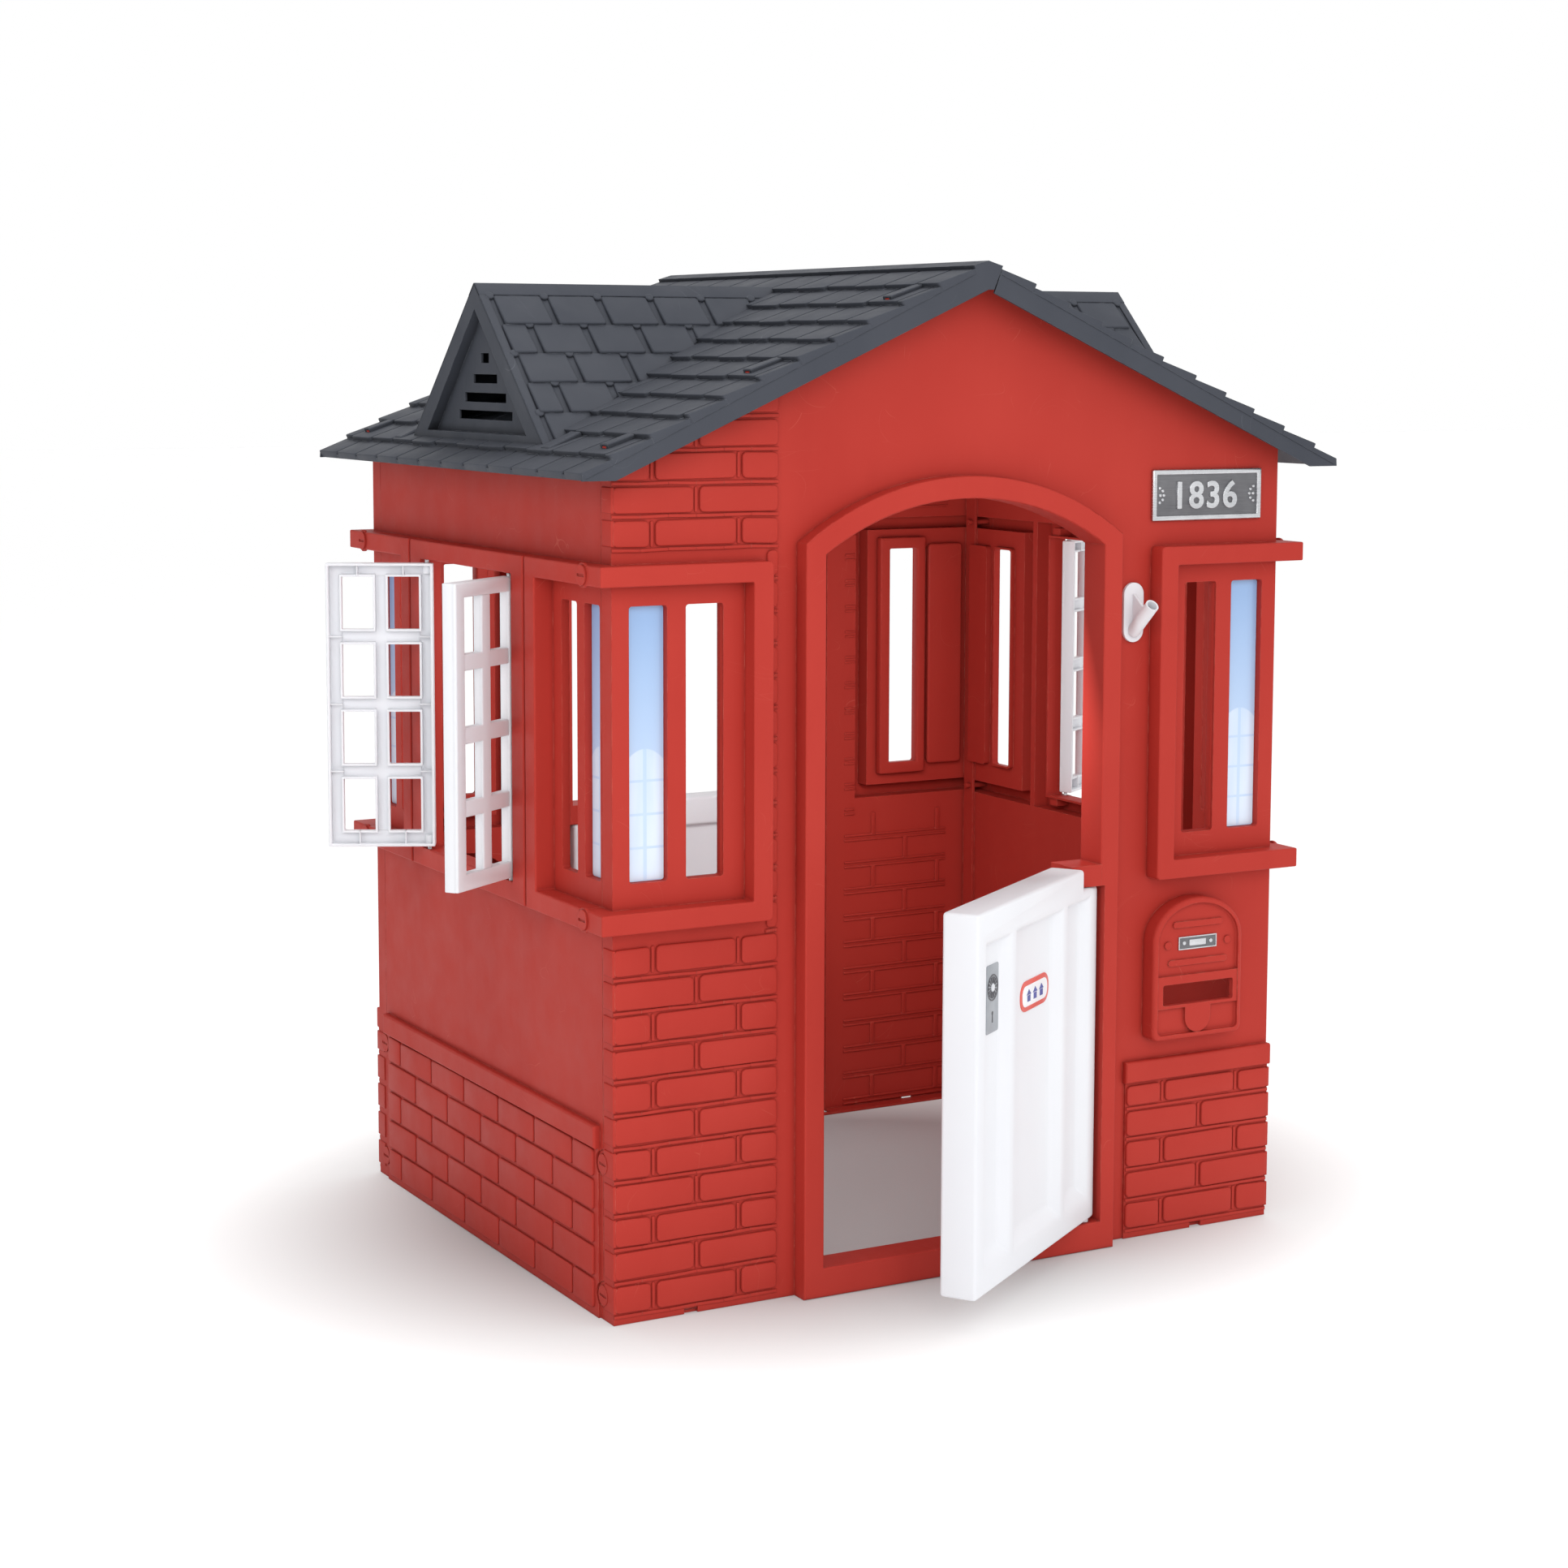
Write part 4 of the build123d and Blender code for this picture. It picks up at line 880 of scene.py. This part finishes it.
def lock_plate(on_panel):
    """Printed lock plate with its wheel and keyhole."""
    plate = bmesh.new()
    pad(plate, rectangle(0.0485, 0.0845, 0.3435, 0.4245, 0.003), 0.0010, 0.0004, on_panel)
    base = piece("lock_plate_base", plate, LOCK, "lock_label", "front_door")
    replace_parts(base, "front_door_lock_plate")
    wheel = bmesh.new()
    centre_u, centre_z = 0.0665, 0.397
    spokes = 16
    for k in range(spokes):
        angle = 2 * pi * k / spokes
        side = Vector((-sin(angle), cos(angle)))
        out = Vector((cos(angle), sin(angle)))
        corners = []
        for radius, width in ((0.0055, -0.0006), (0.0128, -0.0016), (0.0128, 0.0016), (0.0055, 0.0006)):
            point = Vector((centre_u, centre_z)) + out * radius + side * width
            corners.append((point.x, point.y))
        pad(wheel, convex(corners), 0.0016, 0.0003, on_panel, steps=1)
    rim = 40
    for k in range(rim):
        a, b = 2 * pi * k / rim, 2 * pi * (k + 1) / rim
        corners = [(centre_u + r * cos(t), centre_z + r * sin(t)) for r, t in
                   ((0.0140, a), (0.0158, a), (0.0158, b), (0.0140, b))]
        pad(wheel, convex(corners), 0.0015, 0.0, on_panel, steps=1)
    piece("lock_plate_wheel", wheel, LOCK_DARK, "lock_label", "front_door")
    hub = bmesh.new()
    pad(hub, disc(centre_u, centre_z, 0.0048), 0.0021, 0.0008, on_panel)
    piece("lock_plate_hub", hub, LOCK_LIGHT, "lock_label", "front_door")
    key = bmesh.new()
    pad(key, disc(centre_u, 0.3665, 0.0024, 12), 0.0014, 0.0002, on_panel)
    slot = [(centre_u - 0.0015, 0.3555), (centre_u + 0.0015, 0.3555), (centre_u + 0.0009, 0.3655),
            (centre_u - 0.0009, 0.3655)]
    pad(key, convex(slot), 0.0014, 0.0002, on_panel)
    piece("lock_plate_keyhole", key, LOCK_DARK, "lock_label", "front_door")


def badge(on_panel):
    """Round-ended badge with three small houses."""
    mid_u, mid_z = 0.1995, 0.3655
    half_u, half_z = 0.0455, 0.0185

    def outline(inset, radius):
        """Round-ended outline of the badge, inset all round."""
        return rectangle(mid_u - half_u + inset, mid_u + half_u - inset, mid_z - half_z + inset,
                         mid_z + half_z - inset, radius, 6)

    rim = bmesh.new()
    pad(rim, outline(0, 0.0165), 0.0010, 0.0004, on_panel)
    ring = piece("badge_ring", rim, BADGE_RED, "badge_label", "front_door")
    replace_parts(ring, "front_door_badge")
    centre = bmesh.new()
    pad(centre, outline(0.0058, 0.0105), 0.0014, 0.0003, on_panel)
    piece("badge_centre", centre, BADGE_WHITE, "badge_label", "front_door")
    motif = bmesh.new()
    for offset in (-0.020, 0.0, 0.020):
        u = mid_u + offset
        wall = [(u - 0.0048, mid_z - 0.0072), (u + 0.0048, mid_z - 0.0072), (u + 0.0048, mid_z + 0.0004),
                (u - 0.0048, mid_z + 0.0004)]
        gable = [(u - 0.0072, mid_z + 0.0010), (u + 0.0072, mid_z + 0.0010), (u, mid_z + 0.0078)]
        pad(motif, convex(wall), 0.0017, 0.0001, on_panel, steps=1)
        pad(motif, convex(gable), 0.0017, 0.0001, on_panel, steps=1)
    piece("badge_motif", motif, BADGE_BLUE, "badge_label", "front_door")


# -------------------- shutters
SHUTTER_W = 0.1285
SHUTTER_BACK = 0.008
SHUTTER_OUT = 0.007
SHUTTER_T = 0.019
SHUTTER_LOW, SHUTTER_HIGH = 0.496, 0.862
PANE_W, PANE_H = 0.040, 0.0675
PANE_COLUMNS = (0.010, 0.0688)
PANE_PITCH = 0.087
PANE_ROWS = tuple(SHUTTER_LOW + 0.020 + PANE_PITCH * k for k in range(4))
NEAR_SHUTTER_OPEN, FAR_SHUTTER_OPEN = 124.5, 117.0      # degrees, as the shutters stand


def shutter_panes():
    """The eight panes of a shutter; u runs from the axis to the free edge."""
    return [(u, u + PANE_W, z, z + PANE_H) for u in PANE_COLUMNS for z in PANE_ROWS]


def shutter(name, where, body, node):
    """Window shutter: a face with eight panes, and a rim, pane lips and ribs on its inner side."""
    bm = bmesh.new()
    panes = shutter_panes()
    left, right = -SHUTTER_BACK, SHUTTER_W
    us = sorted({left, right, *(u for column in PANE_COLUMNS for u in (column, column + PANE_W))})
    vs = sorted({SHUTTER_LOW, SHUTTER_HIGH, *(z for row in PANE_ROWS for z in (row, row + PANE_H))})
    window = [(PANE_COLUMNS[0], PANE_COLUMNS[1] + PANE_W, PANE_ROWS[0], PANE_ROWS[3] + PANE_H)]
    slab(bm, cells(us, vs, window), 0.0, 0.006, where, 0.0022)
    overlap = 0.001
    rail_us = [us[1] - overlap, *us[2:-2], us[-2] + overlap]
    rail_vs = [vs[1] - overlap, *vs[2:-2], vs[-2] + overlap]
    slab(bm, cells(rail_us, rail_vs, panes), 0.0016, 0.0062, where, 0.0021, 4)
    leaf_edge = (left, right, SHUTTER_LOW, SHUTTER_HIGH)
    slab(bm, frame_cells(leaf_edge, inset_cell(leaf_edge, 0.0035)), 0.004, SHUTTER_T, where, 0.0011, 2)
    lip = 0.0028
    for pane in panes:
        slab(bm, frame_cells(inset_cell(pane, -lip), pane), 0.004, SHUTTER_T - 0.005, where, 0.0008, 2)
    rib = 0.0008
    for k in range(3):
        z = SHUTTER_LOW + 0.09725 + PANE_PITCH * k
        for u0, u1 in ((left + 0.001, PANE_COLUMNS[0]), (PANE_COLUMNS[1] + PANE_W, right - 0.001)):
            slab(bm, [(u0, u1, z - rib, z + rib)], 0.004, SHUTTER_T - 0.0035, where, 0.0003, 1)
    for u in (0.030, 0.0888):
        for z0, z1 in ((SHUTTER_LOW + 0.001, PANE_ROWS[0]), (PANE_ROWS[3] + PANE_H, SHUTTER_HIGH - 0.001)):
            slab(bm, [(u - rib, u + rib, z0, z1)], 0.004, SHUTTER_T - 0.0035, where, 0.0003, 1)
    length = 0.014
    knuckles = [(z, 0.0055, 0.0008) for z in (SHUTTER_LOW, SHUTTER_HIGH - length)]
    pins = [(z, 0.0025, 0.0006) for z in (SHUTTER_LOW - 0.012, SHUTTER_HIGH - 0.002)]
    for z, radius, edge in knuckles + pins:
        def on_axis(u, v, n, z=z):
            return where(u, z + n, SHUTTER_OUT + v)
        pad(bm, disc(0, 0, radius), length, edge, on_axis, base=0.0)
    leaf = piece(name, bm, WHITE, "white_plastic", body)
    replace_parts(leaf, node)
    return leaf


def shutter_map(axis, angle, at_front):
    """Map for a left window's shutter, opened by an angle; the one at the back is its mirror image."""
    turn = Matrix.Rotation(radians(angle), 4, "Z")
    side = 1 if at_front else -1

    def where(u, z, v):
        turned = turn @ Vector((v - SHUTTER_OUT, u, 0))
        return Vector((axis.x + turned.x, axis.y + side * turned.y, z))
    return where


# -------------------- address plate, label
def address_plate():
    """Bevelled frame, dark field, rosettes and digits of the house number."""
    low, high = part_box("address_plate")
    outer = (low.x + HALF_W, high.x + HALF_W, low.z, high.z)
    rim = 0.0065
    inner = inset_cell(outer, rim)
    top = MIDDLE.y - low.y - HALF_D
    border = bmesh.new()
    slab(border, frame_cells(outer, inner), -top - 0.0006, 0.0, lambda x, z, n: on_front(x, z, -n), 0.0018)
    rim_piece = piece("address_plate_rim", border, SILVER, "plate_silver")
    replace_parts(rim_piece, "address_plate")
    field = bmesh.new()
    pad(field, rectangle(*inset_cell(outer, rim - 0.001)), 0.002, 0.0, on_front, steps=1)
    piece("address_plate_field", field, PLATE_FIELD, "plate_silver")

    ornaments = bmesh.new()
    mid_z = (outer[2] + outer[3]) / 2
    petals = 5
    for centre, side in ((inner[0] + 0.0015, 1), (inner[1] - 0.0015, -1)):
        for k in range(petals):
            angle = (k - (petals - 1) / 2) * pi / 5.2
            u = centre + side * 0.0098 * cos(angle)
            pad(ornaments, disc(u, mid_z + 0.0098 * sin(angle), 0.0021, 12), 0.0033, 0.001, on_front)
        pad(ornaments, disc(centre + side * 0.0042, mid_z, 0.0022, 12), 0.0036, 0.001, on_front)
    piece("address_plate_ornaments", ornaments, SILVER, "plate_silver")
    house_number((outer[0] + outer[1]) / 2, mid_z)


def house_number(mid_x, mid_z):
    """Raised digits, centred on a point of the front wall."""
    digits = bpy.data.curves.new("address_digits", "FONT")
    digits.body = "1836"
    digits.size = 0.047
    digits.space_character = 1.12
    digits.align_x = "CENTER"
    digits.align_y = "CENTER"
    digits.extrude = 0.0013
    digits.bevel_depth = 0.0007
    digits.bevel_resolution = 2
    digits.offset = 0.0006
    text = add_object("address_digits_curve", digits)
    bpy.context.view_layer.update()
    mesh = bpy.data.meshes.new_from_object(text.evaluated_get(bpy.context.evaluated_depsgraph_get()))
    bpy.data.objects.remove(text)
    lows = [min(v.co[k] for v in mesh.vertices) for k in range(2)]
    highs = [max(v.co[k] for v in mesh.vertices) for k in range(2)]
    for vert in mesh.vertices:
        x = vert.co.x - (lows[0] + highs[0]) / 2
        z = vert.co.y - (lows[1] + highs[1]) / 2
        vert.co = on_front(mid_x + x, mid_z + z, 0.0022 + vert.co.z)
    mesh.materials.clear()
    mesh.materials.append(SILVER)
    made = add_object("address_digits", mesh)
    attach(made, "root")
    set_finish(made, "plate_silver")


def mailbox_label():
    """Small framed label on the letter box."""
    low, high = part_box("mailbox_label")
    outer = (low.x + HALF_W, high.x + HALF_W, low.z, high.z)
    x0, x1 = outer[:2]
    base = MIDDLE.y - high.y - HALF_D
    bm = bmesh.new()
    rim = 0.0016
    border = frame_cells(outer, inset_cell(outer, rim))
    slab(bm, border, -base - rim, -base, lambda x, z, n: on_front(x, z, -n), 0.0005)
    mid_z = (low.z + high.z) / 2
    inner = rectangle(x0 + 0.017, x1 - 0.017, mid_z - 0.004, mid_z + 0.004, 0.001)
    pad(bm, inner, base + 0.0015, 0.0004, on_front, base=base)
    for centre in (x0 + 0.009, x1 - 0.009):
        pad(bm, disc(centre, mid_z, 0.0026, 16), base + 0.0015, 0.0005, on_front, base=base)
    label = piece("mailbox_label_frame", bm, SILVER, "plate_silver")
    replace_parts(label, "mailbox_label")
    field = bmesh.new()
    pad(field, rectangle(*inset_cell(outer, 0.001)), base + 0.0006, 0.0, on_front, base=base, steps=1)
    piece("mailbox_label_field", field, PLATE_FIELD, "plate_silver")


# -------------------- floor, light, camera
def floor_glow_and_painted_shadow():
    """Pale floor that glows white away from the house's footprint; its weaker glow near the footprint is a painted
    shadow round the house.
    """
    paint = bpy.data.materials.new("floor_white")
    paint.use_nodes = True
    tree = paint.node_tree
    shader = tree.nodes["Principled BSDF"]
    set_inputs(shader, Base_Color=(0.5, 0.5, 0.5, 1), Emission_Color=(1.0, 1.0, 1.0, 1), Roughness=0.7)
    where = tree.nodes.new("ShaderNodeTexCoord")
    footprint = tree.nodes.new("ShaderNodeMapping")
    set_inputs(footprint, Scale=(1 / HALF_W, 1 / HALF_D, 1), Location=(0, -MIDDLE.y / HALF_D, 0))
    away = tree.nodes.new("ShaderNodeVectorMath")
    away.operation = "LENGTH"
    # painted shadow: the floor's glow fades out towards the house's footprint
    glow_with_painted_shadow = map_range(tree, 0.95, 1.8, 0.02, 0.58)
    tree.links.new(where.outputs["Object"], footprint.inputs["Vector"])
    tree.links.new(footprint.outputs["Vector"], away.inputs[0])
    tree.links.new(away.outputs["Value"], glow_with_painted_shadow.inputs["Value"])
    tree.links.new(glow_with_painted_shadow.outputs["Result"], shader.inputs["Emission Strength"])
    return paint


def studio_floor():
    """Plain floor under the house, with a painted shadow round the footprint."""
    bm = bmesh.new()
    bmesh.ops.create_grid(bm, x_segments=1, y_segments=1, size=30)
    mesh = bpy.data.meshes.new("floor")
    bm.to_mesh(mesh)
    bm.free()
    mesh.materials.append(floor_glow_and_painted_shadow())
    floor = add_object("floor", mesh)
    floor.location.z = -0.0005


def surroundings():
    """White surroundings, darker on the left."""
    world = bpy.data.worlds.new("studio")
    world.use_nodes = True
    tree = world.node_tree
    direction = tree.nodes.new("ShaderNodeTexCoord")
    parts = tree.nodes.new("ShaderNodeSeparateXYZ")
    shade = map_range(tree, -0.5, 0.05, 0.2, 1.0)
    background = tree.nodes["Background"]
    set_inputs(background, Color=(1.0, 1.0, 1.0, 1))
    tree.links.new(direction.outputs["Generated"], parts.inputs["Vector"])
    tree.links.new(parts.outputs["X"], shade.inputs["Value"])
    tree.links.new(shade.outputs["Result"], background.inputs["Strength"])
    bpy.context.scene.world = world


def area_lamp(name, location, target, size, power):
    """Soft rectangular lamp, aimed at a target."""
    lamp = bpy.data.lights.new(name, "AREA")
    lamp.shape = "RECTANGLE"
    lamp.size, lamp.size_y = size
    lamp.energy = power
    made = add_object(name, lamp)
    made.location = MIDDLE + Vector(location)
    made.visible_camera = False
    made.rotation_euler = (Vector(target) - Vector(location)).to_track_quat("-Z", "Y").to_euler()


def lamps():
    """Studio lamps, and a weak one inside the house."""
    area_lamp("key", (-1.9, -4.3, 2.6), (0, 0, 0.6), (3.0, 3.0), 84)
    area_lamp("left", (-3.8, -1.2, 2.4), (0, 0, 0.7), (2.0, 2.0), 36)
    area_lamp("top", (0.0, 0.0, 4.5), (0, 0, 0), (4.0, 4.0), 50)
    area_lamp("room", (-0.1, -0.26, 0.82), (0.1, 0.37, 0.6), (0.5, 0.4), 3.2)


def camera():
    """Camera to the front left of the house."""
    data = bpy.data.cameras.new("camera")
    data.lens = 67.87
    data.sensor_width = 36.0
    data.shift_y = -0.0756
    data.clip_end = 100
    made = add_object("camera", data)
    made.location = MIDDLE + Vector((-1.9261, -3.3963, 1.1323))
    made.rotation_mode = "XYZ"
    pitch, yaw, roll = radians(6.067), radians(28.982), radians(0.149)
    look = Matrix.Rotation(-yaw, 3, "Z") @ Matrix.Rotation(pi / 2 - pitch, 3, "X")
    look = look @ Matrix.Rotation(roll, 3, "Z")
    made.rotation_euler = look.to_euler()
    bpy.context.scene.camera = made
    bpy.context.scene.view_settings.view_transform = "Standard"


# -------------------- build
dress_cad()
brick_column()
plinth_bricks()
side_bricks()
inner_masonry()
window_trays()
shingles()
hook_tips()
dormer_shingles()

front_map = door_map(hinge_place("front_door_hinge"), FRONT_DOOR_OPEN, False)
back_map = door_map(hinge_place("back_door_hinge"), 0.0, True)
door("front_door_leaf", front_map, "front_door", "front_door")
door("back_door_leaf", back_map, "back_door", "back_door")
lock_plate(panel_map(front_map))
badge(panel_map(front_map))

near_map = shutter_map(hinge_place("left_front_shutter_hinge"), NEAR_SHUTTER_OPEN, True)
far_map = shutter_map(hinge_place("left_back_shutter_hinge"), FAR_SHUTTER_OPEN, False)
near_leaf = shutter("left_front_leaf", near_map, "left_front_shutter", "left_front_shutter")
far_leaf = shutter("left_back_leaf", far_map, "left_back_shutter", "left_back_shutter")
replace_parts(half_turn(near_leaf, "right_back_leaf", "right_back_shutter"), "right_back_shutter")
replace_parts(half_turn(far_leaf, "right_front_leaf", "right_front_shutter"), "right_front_shutter")

address_plate()
mailbox_label()
studio_floor()
surroundings()
lamps()
camera()
